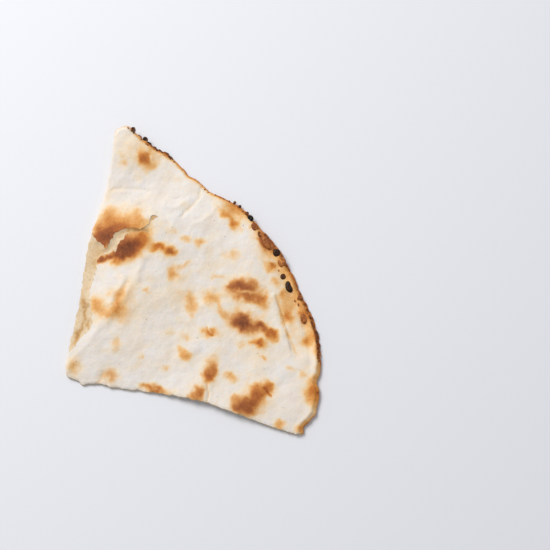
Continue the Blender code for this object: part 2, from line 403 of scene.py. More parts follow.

# %% [markdown]
# ## Creases
# A baked sheet that bends leaves short creases and a few cracks. Each one is a line with its own
# width and depth, pressed into the top by its distance from the line. The same lines are darkened
# later: partly real browning, and partly painted shade in the crease.

# %% Creases in the top
# Each crease: width, depth (a negative one is a ridge), browning, and the points along it. The browning
# darkens the colour: partly real browning, and partly painted shade in the crease.
CREASES = (
    (0.9, 0.50, 0.10, ((46.6, 136.0), (46.9, 131.0), (44.6, 125.0), (38.8, 115.0))),
    (1.1, 0.45, 0.04, ((-5.7, 122.0), (0.0, 124.5), (8.7, 127.0), (15.0, 126.5))),
    (1.6, -0.45, 0.0, ((20.0, 122.0), (28.0, 119.0), (36.0, 120.5), (41.0, 127.0))),
    (1.2, 0.40, 0.03, ((12.0, 116.0), (20.0, 114.0), (29.0, 112.0), (33.0, 108.0))),
    (1.2, 0.35, 0.0, ((24.0, 126.0), (31.0, 124.0), (35.0, 127.0))),
    (1.4, -0.40, 0.0, ((48.0, 112.0), (54.0, 117.0), (58.0, 124.0))),
    (0.7, 0.60, 0.16, ((81.0, 18.5), (82.2, 13.0), (83.0, 8.0))),
    # A narrow slit, darkened as painted shade in it as well as browned.
    (0.7, 0.60, 0.55, ((112.8, 24.6), (115.6, 22.0), (118.8, 19.6))),
    (1.6, 0.35, 0.08, ((15.4, 53.0), (17.4, 60.0), (20.0, 68.5))),
    (1.8, -0.40, 0.0, ((12.6, 52.0), (14.0, 60.0), (16.4, 68.5))),
    (0.7, 0.50, 0.35, ((71.6, 51.5), (73.4, 48.8), (76.4, 47.6))),
    (0.6, 0.40, 0.30, ((74.6, 51.4), (76.2, 49.4))),
    (1.7, -0.45, 0.0, ((105.2, 79.5), (111.2, 66.0), (118.2, 55.0), (124.4, 47.8))),
    # This shallow line beside the ridge above is darkened to paint the shade on the ridge's side away from
    # the light.
    (1.0, 0.12, 0.22, ((107.4, 79.7), (113.8, 66.4), (120.8, 55.6), (126.8, 48.8))),
    (1.2, 0.30, 0.14, ((15.6, 3.0), (18.6, 6.0), (19.4, 10.4))),
    (2.6, -0.60, 0.0, ((-3.0, 7.0), (3.0, 20.0), (12.0, 41.0), (22.0, 63.0), (25.0, 84.0))),
)
CREASE_WOBBLE = ((6.0, 1.6), (2.0, 0.5))


def creased():
    """How deep the creases are at each point, and how much they darken its colour: browning, and painted
    shade in the crease.
    """
    depth, browning_and_shade = np.zeros(len(plan)), np.zeros(len(plan))
    wobbled = shaken(plan, CREASE_WOBBLE)
    for width, deep, darkens, line in CREASES:
        closeness = np.exp(-((distance_to(wobbled, line) / width) ** 2))
        depth += deep * closeness
        browning_and_shade = np.maximum(browning_and_shade, darkens * closeness)
    return depth, browning_and_shade


crease_depth, crease_browning_and_shade = creased()
print("creases:", len(CREASES), "up to", round(float(crease_depth.max()), 2), "mm deep")

# %% [markdown]
# ## Heights of the layers
# Every layer gets one height for each point of the plan. The lower layer follows the blisters only in
# part, which opens the gap under them, and the torn lip curls up and thins out as it dries.

# %% The five heights
THICKNESS = 3.2
# Places where the sheet is thinner or thicker, as mounds.
UNEVEN = ((20, 1, 30, 10, 4, -1.0), (104, 3, 30, 7, 4, -0.4), (24, 27, 28, 10, 8, 0.7))
RIM_ENDS = (1.0, 4.0)  # distances from the rim between which an edge is less and less a baked one
EDGE_DROP = (0.45, 0.75)  # how far the top rounds down at a cut, and how much further at the rim
EDGE_ROUND = (1.0, 1.6)  # the width of that rounding at a cut, and how much wider it is at the rim
LOWER_LAYER = 1.6
LOWER_SHARE = 0.80
TOP_LAYER = 1.1
LIP_THICKNESS, LIP_TAPER = 0.24, 2.0  # of the torn skin, and how far from the tear it is whole again
# The lower layer rises to meet the torn skin. How far from the tear it does so, beside the cut and in
# the crack, and the two places along Y between which the one becomes the other.
BANKS, CRACK_FROM = (4.2, 10.0), (84, 94)
POCKET = 4.5  # how far the gap between the layers reaches under the torn skin
POCKET_NARROWS = 0.25  # the share of that reach from which it narrows
THINNEST_GAP = 0.08
GAPS = ((-3, 63, 5, 11, 0, 0.3), (-6, 88, 5, 4, 30, 0.1))
LIP_CURL = 0.8
LIP_REACH = 2.5
DOUGH = ((17.0, 0.60), (7.5, 0.42), (3.4, 0.20), (1.7, 0.08))
TORN_DOUGH = ((6.0, 0.40), (2.4, 0.18), (1.2, 0.06))
UNDER_DOUGH = ((6.0, 0.4), (2.5, 0.2))
SEAM_HEIGHT = 0.52  # share of the thickness where the two layers meet

on_rim = 1 - ease(*RIM_ENDS, to_rim)
edge_round = EDGE_ROUND[0] + EDGE_ROUND[1] * on_rim
edge_drop = (EDGE_DROP[0] + EDGE_DROP[1] * on_rim) * (1 - ease(0, edge_round, to_edge))
gap = mounds(X, Y, GAPS)
curl = LIP_CURL * gap * np.exp(-to_tear / LIP_REACH)
top_z = lift + THICKNESS + mounds(X, Y, UNEVEN) + blister + puff - strip - edge_drop - crease_depth
top_z = top_z + curl + ripples(X, Y, DOUGH)
skin = LIP_THICKNESS + (TOP_LAYER - LIP_THICKNESS) * ease(0, LIP_TAPER, to_tear)
floor_z = lift + LOWER_LAYER + LOWER_SHARE * blister + ripples(X, Y, TORN_DOUGH, seed=40)
bank_reach = BANKS[0] + (BANKS[1] - BANKS[0]) * ease(*CRACK_FROM, Y)
bank = np.maximum(top_z - skin - gap - floor_z, 0.0) * np.exp(-((to_tear / bank_reach) ** 2))
floor_z = floor_z + bank
in_pocket = 1 - ease(POCKET_NARROWS, 1.0, to_tear / POCKET)
ceiling_z = floor_z + np.maximum(top_z - skin - floor_z, THINNEST_GAP) * in_pocket
under_z = np.maximum(0.0, lift + ease(0.0, 1.0, lift) * ripples(X, Y, UNDER_DOUGH, seed=60))
seam_z = under_z + (top_z - under_z) * SEAM_HEIGHT
print("the top lies between", round(float(top_z.min()), 1), "and", round(float(top_z.max()), 1), "mm")

# %% [markdown]
# ## From a plan to a closed body
# Each triangle of the plan now stands for several faces: the baked top, the underside and, round the
# tear, the floor of the lower layer and the hidden ceiling of the upper one. Where the gap ends, floor
# and ceiling share their points. Each border between them gets a wall with rows of its own, so that a
# cut shows two layers with a seam and the rim comes out round.

# %% Borders between layers
def used_by(faces):
    """Which plan points these faces or edges use."""
    used = np.zeros(len(plan), bool)
    used[faces.ravel()] = True
    return used


def border(faces):
    """The edges that only one of these triangles has, with that triangle on the left."""
    edges = np.vstack([faces[:, [0, 1]], faces[:, [1, 2]], faces[:, [2, 0]]])
    there, back = edges @ (len(plan), 1), edges @ (1, len(plan))
    return edges[~np.isin(there, back)]


def away_from(edges):
    """A unit direction at each plan point of a border, away from its triangles."""
    side = plan[edges[:, 1]] - plan[edges[:, 0]]
    total = np.zeros((len(plan), 2))
    for end in (0, 1):
        np.add.at(total, edges[:, end], np.column_stack([side[:, 1], -side[:, 0]]))
    return total / np.maximum(np.hypot(*total.T), TINY)[:, None]


JOIN_ROUNDS = 4  # enough for the loop below to settle
centres = plan[triangles].mean(axis=1)
in_mouth = is_inside(centres, mouth)
in_gap = ~in_mouth & (distance_to(centres, tear) < POCKET)
for _ in range(JOIN_ROUNDS):  # a triangle of the gap whose corners are all joined has no gap in it
    joined = used_by(triangles[in_mouth | in_gap]) & used_by(triangles[~in_mouth & ~in_gap])
    in_gap &= ~joined[triangles].all(axis=1)
print("mouth", in_mouth.sum(), "gap", in_gap.sum(), "joined corners", joined.sum())

# %% [markdown]
# The body is gathered layer by layer. A layer is a set of plan points with heights, and it gives back
# the number of each new point, so that faces can be written as plan triangles. Crumb faces, which are
# torn or cut dough, are kept apart from crust faces, because they get another material.

# %% Gather the layers
TOP, UNDER, FLOOR, CEILING, WALL = range(5)
points, parts, faces, is_crumb = [], [], [], []


def add_layer(used, heights, part, shift=0.0):
    """Adds the used plan points at these heights, and gives the new number of each plan point."""
    numbers = np.full(len(plan), -1)
    chosen = np.flatnonzero(used)
    numbers[chosen] = sum(map(len, points)) + np.arange(len(chosen))
    points.append(np.column_stack([plan + shift, heights])[chosen])
    parts.append(np.column_stack([np.full(len(chosen), part), chosen]))
    return numbers


def add_faces(corners, crumb):
    """Adds faces, leaving out a corner that comes twice."""
    for corner, torn in zip(corners.tolist(), np.broadcast_to(crumb, len(corners))):
        corner = list(dict.fromkeys(corner))
        if len(corner) > 2:
            faces.append(corner)
            is_crumb.append(bool(torn))


top = add_layer(used_by(triangles[~in_mouth]), top_z, TOP)
under = add_layer(used_by(triangles), under_z, UNDER)
floor = add_layer(used_by(triangles[in_mouth | in_gap]), floor_z, FLOOR)
ceiling = add_layer(used_by(triangles[in_gap]) & ~joined, ceiling_z, CEILING)
ceiling[joined] = floor[joined]
add_faces(top[triangles[~in_mouth]], False)
add_faces(under[triangles[:, ::-1]], False)
add_faces(floor[triangles[in_mouth | in_gap]], True)
add_faces(ceiling[triangles[in_gap][:, ::-1]], True)
print("layers:", len(points), "with", sum(map(len, points)), "points and", len(faces), "faces")

# %% Walls round the outline and along the tear
WALL_ROWS = 2
RIM_BULGE = 0.7
SEAM_DEPTH = 0.3
CRUMB_ROUGHNESS = ((1.6, 0.45), (0.8, 0.3))
RIM_SMOOTHER = 0.6  # how much of that roughness the rim lacks
SLANT = (3, -2)  # moves the roughness sideways with height, so that the rows of a wall differ
WALL_ENDS = (0.02, 0.98)  # the shares of a wall's height that its bulge is worked out between
THIN_EDGE = 0.5  # an edge thinner than this bulges as if it were this thick


def wall_shift(z, away):
    """How far the wall stands out at height z: round at the rim, crumbly where dough was cut."""
    up_wall = np.clip((z - under_z) / np.maximum(top_z - under_z, THIN_EDGE), *WALL_ENDS)
    crumble = ripples(X + SLANT[0] * z, Y + SLANT[1] * z, CRUMB_ROUGHNESS, seed=50)
    stands_out = RIM_BULGE * on_rim + crumble * (1 - RIM_SMOOTHER * on_rim)
    return away * (np.sin(math.pi * up_wall) * stands_out)[:, None]


def add_wall(edges, low, low_z, high, high_z, away):
    """Rows of wall from the low points to the high ones."""
    crumb = on_rim[edges].mean(axis=1) < 0.5
    row = low
    for step in range(1, WALL_ROWS + 2):
        if step > WALL_ROWS:
            following = high
        else:
            z = low_z + (high_z - low_z) * step / (WALL_ROWS + 1)
            following = add_layer(used_by(edges), z, WALL, wall_shift(z, away))
        a, b = edges.T
        add_faces(np.column_stack([row[a], row[b], following[b], following[a]]), crumb)
        row = following


outer, lip = border(triangles), border(triangles[~in_mouth])
away = away_from(outer)
inset = away * (SEAM_DEPTH * (1 - on_rim))[:, None]
seam = add_layer(used_by(outer) & (floor < 0), seam_z, WALL, wall_shift(seam_z, away) - inset)
middle, middle_z = np.where(floor >= 0, floor, seam), np.where(floor >= 0, floor_z, seam_z)
foot = np.where(ceiling >= 0, ceiling, middle)
foot_z = np.where((ceiling >= 0) & ~joined, ceiling_z, middle_z)
add_wall(outer, under, under_z, middle, middle_z, away)
add_wall(lip, foot, foot_z, top, top_z, away_from(lip))
points, parts = np.vstack(points), np.vstack(parts)
part, origin = parts.T
print("body:", len(points), "points,", len(faces), "faces,", sum(is_crumb), "of them crumb")

# %% [markdown]
# ## Where the oven toasted it
# Toasting is one number for each point, 0 for pale dough and 1 for char. A bubble stands closer to the
# fire, so it browns in the middle and fades to gold round it. A second number says how orange the
# browning is: thin dry skin goes orange, thick dough goes brown. Each spot is an oval whose outline
# is bent by noise, and overlapping spots add up without ever passing 1.

# %% Toasted spots
# Each spot: x, y, half-width, half-height, turn, tone, and how orange it is.
BUBBLES = (
    (7.6, 146.1, 3.8, 3.8, 0, 0.59, 0.3), (10.1, 146.3, 7, 6.8, 0, 0.36, 0.85),
    (12, 141.4, 3.4, 3.4, 0, 0.17, 0.7), (86.6, 81.4, 8.6, 5, 18, 0.73, 0.1),
    (81, 80, 4.2, 4.2, 0, 0.48, 0.2), (92, 75.8, 9.4, 3.8, 14, 0.63, 0.3),
    (100.4, 74.6, 3.6, 4.2, 14, 0.47, 0.8), (88.5, 80, 12.5, 8.6, 18, 0.11, 0.7),
    (90.6, 60.2, 6.8, 5.6, 2, 0.87, 0), (94.4, 57, 5, 3.2, 12, 0.49, 0),
    (102.4, 60.6, 4.2, 3.2, -20, 0.78, 0.25), (99, 57, 3.4, 2.6, 0, 0.32, 0.2),
    (108.8, 57.4, 4.2, 3.2, -30, 0.68, 0.8), (112.4, 55, 2.6, 3.2, 0, 0.36, 0.9),
    (104.4, 49.8, 3.8, 2.6, 14, 0.66, 0.95), (101, 49, 3.4, 2.2, 14, 0.36, 0.9),
    (98, 57, 13.5, 8.4, -12, 0.13, 0.8), (112, 22.2, 6.6, 5.4, 30, 0.55, 0.6),
    (115.8, 25.8, 3.2, 2.8, 0, 0.45, 0.9), (110.6, 16.4, 4, 4.2, 0, 0.49, 0.4),
    (105.4, 11, 7.8, 6.2, 14, 0.7, 0.15), (104.2, 9.2, 4.6, 3.2, 0, 0.36, 0),
    (98.2, 14, 2.6, 2.4, 0, 0.28, 0.6), (108.6, 16, 11, 9.5, 40, 0.13, 0.85),
    (80, 25.6, 4.6, 6.8, 13, 0.64, 0.3), (80.8, 21.6, 3, 2.8, 0, 0.49, 0.95),
    (80.4, 34, 3.6, 3, 0, 0.17, 0.7), (63, 31.5, 3.4, 5, 45, 0.47, 0.8), (58.6, 36, 2.2, 2, 0, 0.25, 0.7),
    (38.4, 91.6, 4.2, 3.8, 6, 0.57, 0.85), (39, 91, 2.4, 2.2, 0, 0.36, 0.5),
    (30.5, 91.6, 4.8, 3.2, 14, 0.71, 1), (76.8, 12.6, 4, 4.6, 20, 0.61, 0.4),
    (74, 8.8, 5, 2.6, 10, 0.36, 0.3), (73.6, 49, 6, 3.6, 8, 0.49, 0.75), (-3, 91, 9, 8, 14, 0.76, 0.25),
    (6, 96.6, 11, 5.6, 20, 0.62, 0.4), (6, 103, 14.5, 4.6, 14, 0.4, 0.6), (-4, 105, 5, 6.4, 0, 0.36, 0.6),
    (13, 110, 3.4, 4.6, 0, 0.25, 0.6), (-2, 89, 6, 4.6, 14, 0.42, 0.1),
    (18, 103.4, 4.4, 3.6, 30, 0.28, 0.9), (4, 111, 12, 4.5, 14, 0.15, 0.6),
    (13, 87.6, 7.8, 6.2, 35, 0.84, 0.05), (20.5, 94, 4.6, 7.8, -32, 0.59, 0.95),
    (-1, 76.6, 3.8, 2.6, 30, 0.8, 0.2), (4.2, 78.8, 3.6, 1.6, 25, 0.64, 0.4),
    (9.4, 79.5, 2.6, 4, 0, 0.47, 0.9), (11, 86, 13, 9, 40, 0.13, 0.9),
    (92, 110.4, 6.2, 3, -42, 0.78, 0.2), (11.4, 82.6, 8, 3.6, 14, 0.66, 0.25),
    (18.6, 87, 4, 5, -32, 0.4, 0.6),
)  # fmt: skip
FAINT_SPOTS = (
    (43.5, 78.5, 3.4, 4.4, 28, 0.5, 0.7), (49, 86, 4.8, 2, 35, 0.29, 0.5), (69.5, 70, 5, 5, 0, 0.46, 0.7),
    (59, 63, 3.2, 7.6, 20, 0.41, 0.6), (79, 62.5, 8, 2.4, -50, 0.43, 0.6),
    (54.5, 102, 3.4, 2.4, 14, 0.48, 0.7), (46, 101.6, 3, 2.2, 14, 0.34, 0.6),
    (37, 104, 3.6, 2.2, 0, 0.24, 0.4), (75, 99, 5.4, 3.4, 14, 0.31, 0.6),
    (66, 121.5, 6.4, 2.6, -28, 0.55, 0.85), (71.6, 117.6, 2.8, 4, 14, 0.62, 0.95),
    (68.5, 127, 5, 3.6, -28, 0.36, 0.8), (93, 103, 4.4, 5.4, 14, 0.19, 0.8),
    (99, 97, 3.6, 2.8, -20, 0.7, 0.9), (104.4, 88.6, 2.6, 2.6, 0, 0.38, 0.8),
    (110.6, 82.5, 2.6, 3, 0, 0.41, 0.8), (114.4, 75, 4.4, 9.6, 22, 0.34, 0.85),
    (120, 68, 4, 20, 26, 0.17, 0.8), (116, 69, 2.8, 3.4, 0, 0.53, 0.7),
    (126.4, 71.5, 2.4, 4.6, 22, 0.62, 0.4), (131.6, 57.6, 3.6, 4.6, 10, 0.55, 0.95),
    (141, 28, 4.4, 7.6, 14, 0.58, 0.9), (139.6, 5, 3.4, 2.6, 0, 0.41, 0.7),
    (127, 5, 3, 2.6, 0, 0.48, 0.85), (93, 26, 4, 2.8, -4, 0.43, 0.75),
    (51.6, 8.6, 7.6, 2.2, 0, 0.7, 0.35), (46, 9.6, 2.6, 2.6, 0, 0.31, 0.7),
    (24, 10, 4.8, 4.2, 0, 0.5, 0.2), (4.6, 48.6, 4.4, 5, 10, 0.53, 0.8),
    (12.5, 45, 6, 3.8, 0, 0.46, 0.75), (20, 47, 6, 7, 0, 0.26, 0.6), (22.5, 61, 3.4, 9, -8, 0.19, 0.7),
    (16.4, 58, 2.3, 7.2, -10, 0.42, 0.55), (10.5, 57.5, 3, 3, 0, 0.29, 0.6),
    (18, 51, 3, 4.6, -8, 0.4, 0.7), (31, 65, 1.8, 1.8, 0, 0.34, 0.7), (22, 29, 3, 5.2, 28, 0.24, 0.5),
    (54, 22, 3, 1.8, 14, 0.31, 0.6), (38.5, 25, 1.8, 1.8, 0, 0.24, 0.5),
    (51, 44, 3.6, 1.8, 20, 0.24, 0.6), (60, 43, 3, 2.8, 0, 0.26, 0.6),
    (108.5, 41, 1.8, 1.8, 0, 0.41, 0.8), (125, 38.5, 3, 2, 0, 0.29, 0.7), (133, 37.5, 3, 2, 0, 0.29, 0.7),
    (94, 46, 2.4, 2.2, 0, 0.26, 0.6), (-4, 140, 3, 3, 0, 0.29, 0.6), (69, 83, 4.8, 1.8, 14, 0.29, 0.6),
    (8, 76, 2, 2.2, 0, 0.43, 0.9), (1, 10, 3.8, 5, 14, 0.41, 0.8), (86, 67, 3, 2.6, 0, 0.26, 0.6),
    (50.6, 65, 9, 8, 0, 0.16, 0.6), (106, 42, 12, 7, 20, 0.12, 0.6), (84.4, 118.6, 2.6, 2.4, 0, 0.6, 0.5),
    (-2, 151, 8, 9, 0, 0.17, 0.7), (27, 51, 8, 7, 0, 0.12, 0.5), (64, 88, 9, 4, 30, 0.1, 0.6),
    (36, 60, 7, 6, 0, 0.1, 0.6),
)  # fmt: skip
# Each: x, y, half-width, half-height, turn, and how much of the tone it takes away. They lighten the spots;
# the crescent on the bubble near the tip is a painted highlight.
PALE_STREAKS_AND_HIGHLIGHTS = ((88.4, 78.4, 7, 1, 4, 0.5), (12.4, 147.2, 1.1, 2.8, 14, 0.6), (72.6, 50.4, 1, 2.6, 50, 0.3))
BENT = ((5.0, 2.2), (2.2, 0.8))  # how noise bends the outlines of the spots
# Where a spot begins and ends to fade, as shares of its size: dark ones are flat, faint ones peak.
DARK_FADE, FAINT_FADE, HALO_FADE = (0.30, 1.35), (-0.20, 1.60), (0.30, 2.3)
HALO_SHARE = 0.26  # of the tone, as gold that reaches further out
MOTTLING = ((11.0, 0.6), (5.0, 0.45))
MOTTLED = (0.16, 0.05, 0.75)  # tone of the faint mottling, and the noise values where it begins and ends
FAINTEST = 1e-6  # keeps the orange share a number where nothing is browned


def toasted(x, y, spots, fade):
    """Tone and orange share of overlapping spots."""
    left, orange, weight = np.ones(len(x)), np.zeros(len(x)), np.full(len(x), FAINTEST)
    for *place, tone, hue in spots:
        out = oval(x, y, *place)
        halo = HALO_SHARE * (1 - ease(*HALO_FADE, out))
        part = tone * (halo + (1 - HALO_SHARE) * (1 - ease(*fade, out)))
        left *= 1 - part
        orange += part * hue
        weight += part
    return 1 - left, orange / weight


def joined_tones(first, second):
    """Two browned patterns laid over each other."""
    (one, one_hue), (two, two_hue) = first, second
    hue = (one * one_hue + two * two_hue) / np.maximum(one + two, FAINTEST)
    return 1 - (1 - one) * (1 - two), hue


bent_x, bent_y = shaken(plan, BENT).T
dark_ones = toasted(bent_x, bent_y, BUBBLES, DARK_FADE)
top_toast, top_ember = joined_tones(dark_ones, toasted(bent_x, bent_y, FAINT_SPOTS, FAINT_FADE))
# Painted highlights and pale streaks take away some of the tone.
for *place, share in PALE_STREAKS_AND_HIGHLIGHTS:
    top_toast *= 1 - share * np.exp(-(oval(bent_x, bent_y, *place) ** 2))
mottled, mottled_from, mottled_to = MOTTLED
faint = mottled * ease(mottled_from, mottled_to, ripples(X, Y, MOTTLING, seed=30))
top_toast = 1 - (1 - top_toast) * (1 - crease_browning_and_shade) * (1 - faint)
print("toasted spots:", len(BUBBLES) + len(FAINT_SPOTS))

# %% [markdown]
# ## The scorched rim
# The rim browns in a band whose width changes along it, and its outermost edge chars. Both depend on
# how far a point is from the rim and on its bearing, so the scorching is given along the rim.

# %% Scorching along the rim
# Each stretch: bearing, half-width in degrees, tone, reach in millimetres, and how orange it is.
RIM_SCORCH = (
    (3.5, 2.5, 0.42, 2.4, 0.8), (11, 4.5, 0.46, 3.2, 0.9), (18, 3, 0.34, 1.4, 0.7),
    (23.2, 4.8, 0.78, 1.9, 0.1), (25, 5.5, 0.44, 4.6, 0.95), (34, 5.5, 0.46, 6.4, 0.95),
    (43, 5.5, 0.54, 6.4, 0.95), (38, 12, 0.56, 0.9, 0.6), (50, 3.5, 0.36, 5, 0.95),
    (50.3, 2.8, 0.62, 3.2, 0.3), (57, 3, 0.5, 1.8, 0.5), (61, 5, 0.44, 5.4, 0.9), (64, 5, 0.56, 0.8, 0.4),
    (68, 5, 0.26, 2.2, 0.8), (76, 6, 0.46, 0.8, 0.5), (76, 6, 0.24, 2.2, 0.8), (85, 4, 0.66, 1, 0.2),
    (85, 4.5, 0.32, 2.6, 0.8), (91, 1.5, 0.34, 1.2, 0.7),
)  # fmt: skip
PATCHY = ((6.0, 0.45), (2.2, 0.30))
# How dark the rim's outermost edge is: always, where the rim is scorched, in charred spots, and at most.
WALL_BASE, WALL_GAIN, CHAR_GAIN, WALL_DARKEST = 0.34, 0.44, 0.26, 0.9
CHAR_LUMPS = ((2.4, 1.0),)
CHAR_BEGINS, CHAR_ENDS = 0.34, 0.62  # noise values between which a spot turns to char
CHAR_MORE = 0.25  # added to the noise first, for more spots


def scorched(from_rim):
    """Tone and orange share of the scorching, at this distance from the rim."""
    left, orange, weight = np.ones(len(plan)), np.zeros(len(plan)), np.full(len(plan), FAINTEST)
    patchy = 1 + ripples(X, Y, PATCHY, seed=80)
    for place, half_width, tone, reach, hue in RIM_SCORCH:
        part = tone * np.exp(-(((bearing - place) / half_width) ** 2) - (from_rim / reach / patchy) ** 2)
        left *= 1 - np.clip(part, 0, 1) * at_rim
        orange += part * hue
        weight += part
    return 1 - left, orange / weight


top_toast, top_ember = joined_tones((top_toast, top_ember), scorched(to_rim))
charred = ease(CHAR_BEGINS, CHAR_ENDS, ripples(X, Y, CHAR_LUMPS, seed=90) + CHAR_MORE)
wall_tone, wall_ember = scorched(np.zeros(len(plan)))
wall_tone = WALL_BASE + WALL_GAIN * wall_tone + CHAR_GAIN * charred * wall_tone
wall_tone = on_rim * np.clip(wall_tone, 0, WALL_DARKEST)
print("rim tone up to", round(float(wall_tone.max()), 2))

# %% [markdown]
# ## The hidden side and the torn dough
# The underside lay against the clay wall, so it is evenly dry with many small brown spots where the
# dough touched and fainter ones in its dents. The torn dough was shielded by the skin above it and
# stays cream, apart from the margins of the blister and a golden groove where the skin peeled away.
# The groove's colour is partly browning and partly painted shade where the skin's edge meets it.

# %% Tones of the underside and of the torn dough
UNDER_SPOTS = ((15.0, 1.0), (6.5, 0.7), (3.0, 0.35))
UNDER_BASE = 0.10
# Each: tone, and the noise values between which it comes in. Dents are where the noise is below 0.
TOUCHED, DENTED = (0.62, 0.12, 0.95), (0.10, 0.1, 0.6)
UNDER_EMBER = (0.35, 0.3)
# Each: x, y, half-width, half-height, turn, tone, and how orange it is. The first five follow the groove
# along the torn skin's edge, and are partly painted shade in that groove.
TORN_SPOTS_AND_GROOVE_SHADE = (
    (-3.6, 49, 1.4, 4, 25, 0.34, 0.3), (-1, 42.5, 1.1, 4, 20, 0.3, 0.3), (-0.8, 35, 1.1, 5, -5, 0.3, 0.3),
    (-1.8, 27.5, 1.2, 4.4, -10, 0.34, 0.3), (3.2, 36, 0.9, 4, 10, 0.24, 0.3),
    (-4.5, 75, 3, 4, 0, 0.16, 0.5), (23.5, 109.5, 2.4, 3, 30, 0.2, 0.2), (16, 99.5, 7, 3, 20, 0.5, 0.4),
    (-3, 81.5, 5, 4, 0, 0.14, 0.4),
)  # fmt: skip
TORN_BASE = 0.20
TORN_PATCHES = ((4.0, 0.07),)
LIP_BROWNING = 0.75  # share of the top's tone that the torn skin's edge shows
CUT_BROWNING = 0.25
LIP_EDGE = (0.2, 0.6)  # distances from the tear between which the first share becomes the second

blotches = ripples(X, Y, UNDER_SPOTS, seed=110)
under_toast = UNDER_BASE + TOUCHED[0] * ease(*TOUCHED[1:], blotches)
under_toast = under_toast + DENTED[0] * ease(*DENTED[1:], -blotches)
under_ember = UNDER_EMBER[0] + UNDER_EMBER[1] * blotches
under_toast, under_ember = joined_tones((under_toast, under_ember), scorched(to_rim))
torn_toast_and_shade, torn_ember = toasted(bent_x, bent_y, TORN_SPOTS_AND_GROOVE_SHADE, FAINT_FADE)
torn_toast_and_shade = torn_toast_and_shade + TORN_BASE + ripples(X, Y, TORN_PATCHES, seed=95)
share = CUT_BROWNING + (LIP_BROWNING - CUT_BROWNING) * (1 - ease(*LIP_EDGE, to_tear))
wall_tone = wall_tone + (1 - on_rim) * (TORN_BASE + share * top_toast)

tones = np.clip(np.stack([top_toast, under_toast, torn_toast_and_shade, torn_toast_and_shade, wall_tone]), 0, 1)
embers = np.clip(np.stack([top_ember, under_ember, torn_ember, torn_ember, wall_ember]), 0, 1)
print("mean tone of each layer:", tones.mean(axis=1).round(2))

# %% [markdown]
# ## The bread's mesh
# One mesh holds the whole piece, with two materials: baked crust, and crumb where dough shows. The
# two numbers of the oven go with every point as named attributes, which the materials read. Faces
# are smooth apart from real corners, such as where a knife cut meets the baked top.

# %% Make the mesh
CORNER = math.radians(52)
CRUST, CRUMB = 0, 1


def new_piece(name, mesh):
    """An object with this mesh, at the origin."""
    piece = bpy.data.objects.new(name, mesh)
    bpy.context.scene.collection.objects.link(piece)
    return piece


def add_values(mesh, **values):
    """Stores numbers or vectors, one for each point of the mesh."""
    for name, held in values.items():
        held = np.asarray(held, np.float32)
        kind, key = ("FLOAT", "value") if held.ndim == 1 else ("FLOAT_VECTOR", "vector")
        mesh.attributes.new(name, kind, "POINT").data.foreach_set(key, held.ravel())


bread_mesh = bpy.data.meshes.new("naan_bread")
bread_mesh.from_pydata(to_frame(points).tolist(), [], faces)
add_values(bread_mesh, toast=tones[part, origin], ember=embers[part, origin])
bread_mesh.polygons.foreach_set("material_index", np.where(is_crumb, CRUMB, CRUST))
bread_mesh.shade_smooth()
bread_mesh.set_sharp_from_angle(angle=CORNER)
bread = new_piece("naan_bread", bread_mesh)
print("triangles:", sum(len(face) - 2 for face in faces))

# %% [markdown]
# ## A helper for nodes
# Materials and Geometry Nodes are both trees of nodes, so one small function serves both. It adds a
# node, sets its properties, has its inputs filled, and gives back the output that the next node needs.
# Colours are written as the hex values a painter would pick on a screen, and one function turns them
# to the linear values that Blender mixes.

# %% Nodes and colours
MATH, VECTOR_MATH = "ShaderNodeMath", "ShaderNodeVectorMath"
MIX, RAMP, NOISE = "ShaderNodeMix", "ShaderNodeValToRGB", "ShaderNodeTexNoise"
BUMP, ATTRIBUTE = "ShaderNodeBump", "ShaderNodeAttribute"
WHOLE_NODE = None  # asks for a node itself and not for one of its outputs
MIDDLE_OF_NOISE = 0.5  # taken from a noise, so that it darkens as much as it lightens


def linear(hex_colour, alpha=1.0):
    """An sRGB colour such as #e9ded0 as linear red, green, blue and alpha."""
    channels = [int(hex_colour[start : start + 2], 16) / 255 for start in (1, 3, 5)]
    return [c / 12.92 if c <= 0.04045 else ((c + 0.055) / 1.055) ** 2.4 for c in channels] + [alpha]


def join_to(tree, node, inputs):
    """Fills a node's inputs. Each gets a value, or a link from a socket."""
    for key, value in inputs.items():
        if isinstance(value, bpy.types.NodeSocket):
            tree.links.new(value, node.inputs[key])
        else:
            node.inputs[key].default_value = value


def add_node(tree, kind, inputs=(), stops=(), out=0, **settings):
    """Adds a node with its settings, and gives the output asked for, or the whole node."""
    node = tree.nodes.new(kind)
    for name, value in settings.items():
        setattr(node, name, value)
    join_to(tree, node, dict(inputs))
    for index, (position, colour) in enumerate(stops):
        elements = node.color_ramp.elements
        stop = elements[index] if index < 2 else elements.new(position)
        stop.position, stop.color = position, linear(colour)
    return node if out is WHOLE_NODE else node.outputs[out]


def lumps(size):
    """The noise scale that gives lumps of about this many millimetres."""
    return 1.0 / (size * MM)


def varied(tree, tone, noise_value, reach, clamped=True):
    """A tone that noise makes darker and lighter, by up to half the reach each way."""
    shift = add_node(tree, MATH, {0: noise_value, 1: MIDDLE_OF_NOISE}, operation="SUBTRACT")
    return add_node(tree, MATH, {0: shift, 1: reach, 2: tone}, operation="MULTIPLY_ADD", use_clamp=clamped)


def new_material(name, finish):
    """A material with its output, a shader of this finish and a place to read."""
    material = bpy.data.materials.new(name)
    material.use_nodes = True
    tree = material.node_tree
    tree.nodes.clear()
    shader = add_node(tree, "ShaderNodeBsdfPrincipled", finish, out=WHOLE_NODE)
    add_node(tree, "ShaderNodeOutputMaterial", {"Surface": shader.outputs[0]}, out=WHOLE_NODE)
    place = add_node(tree, "ShaderNodeTexCoord", out="Object")
    return material, tree, shader, place


print("middle grey as linear:", round(linear("#808080")[0], 3))

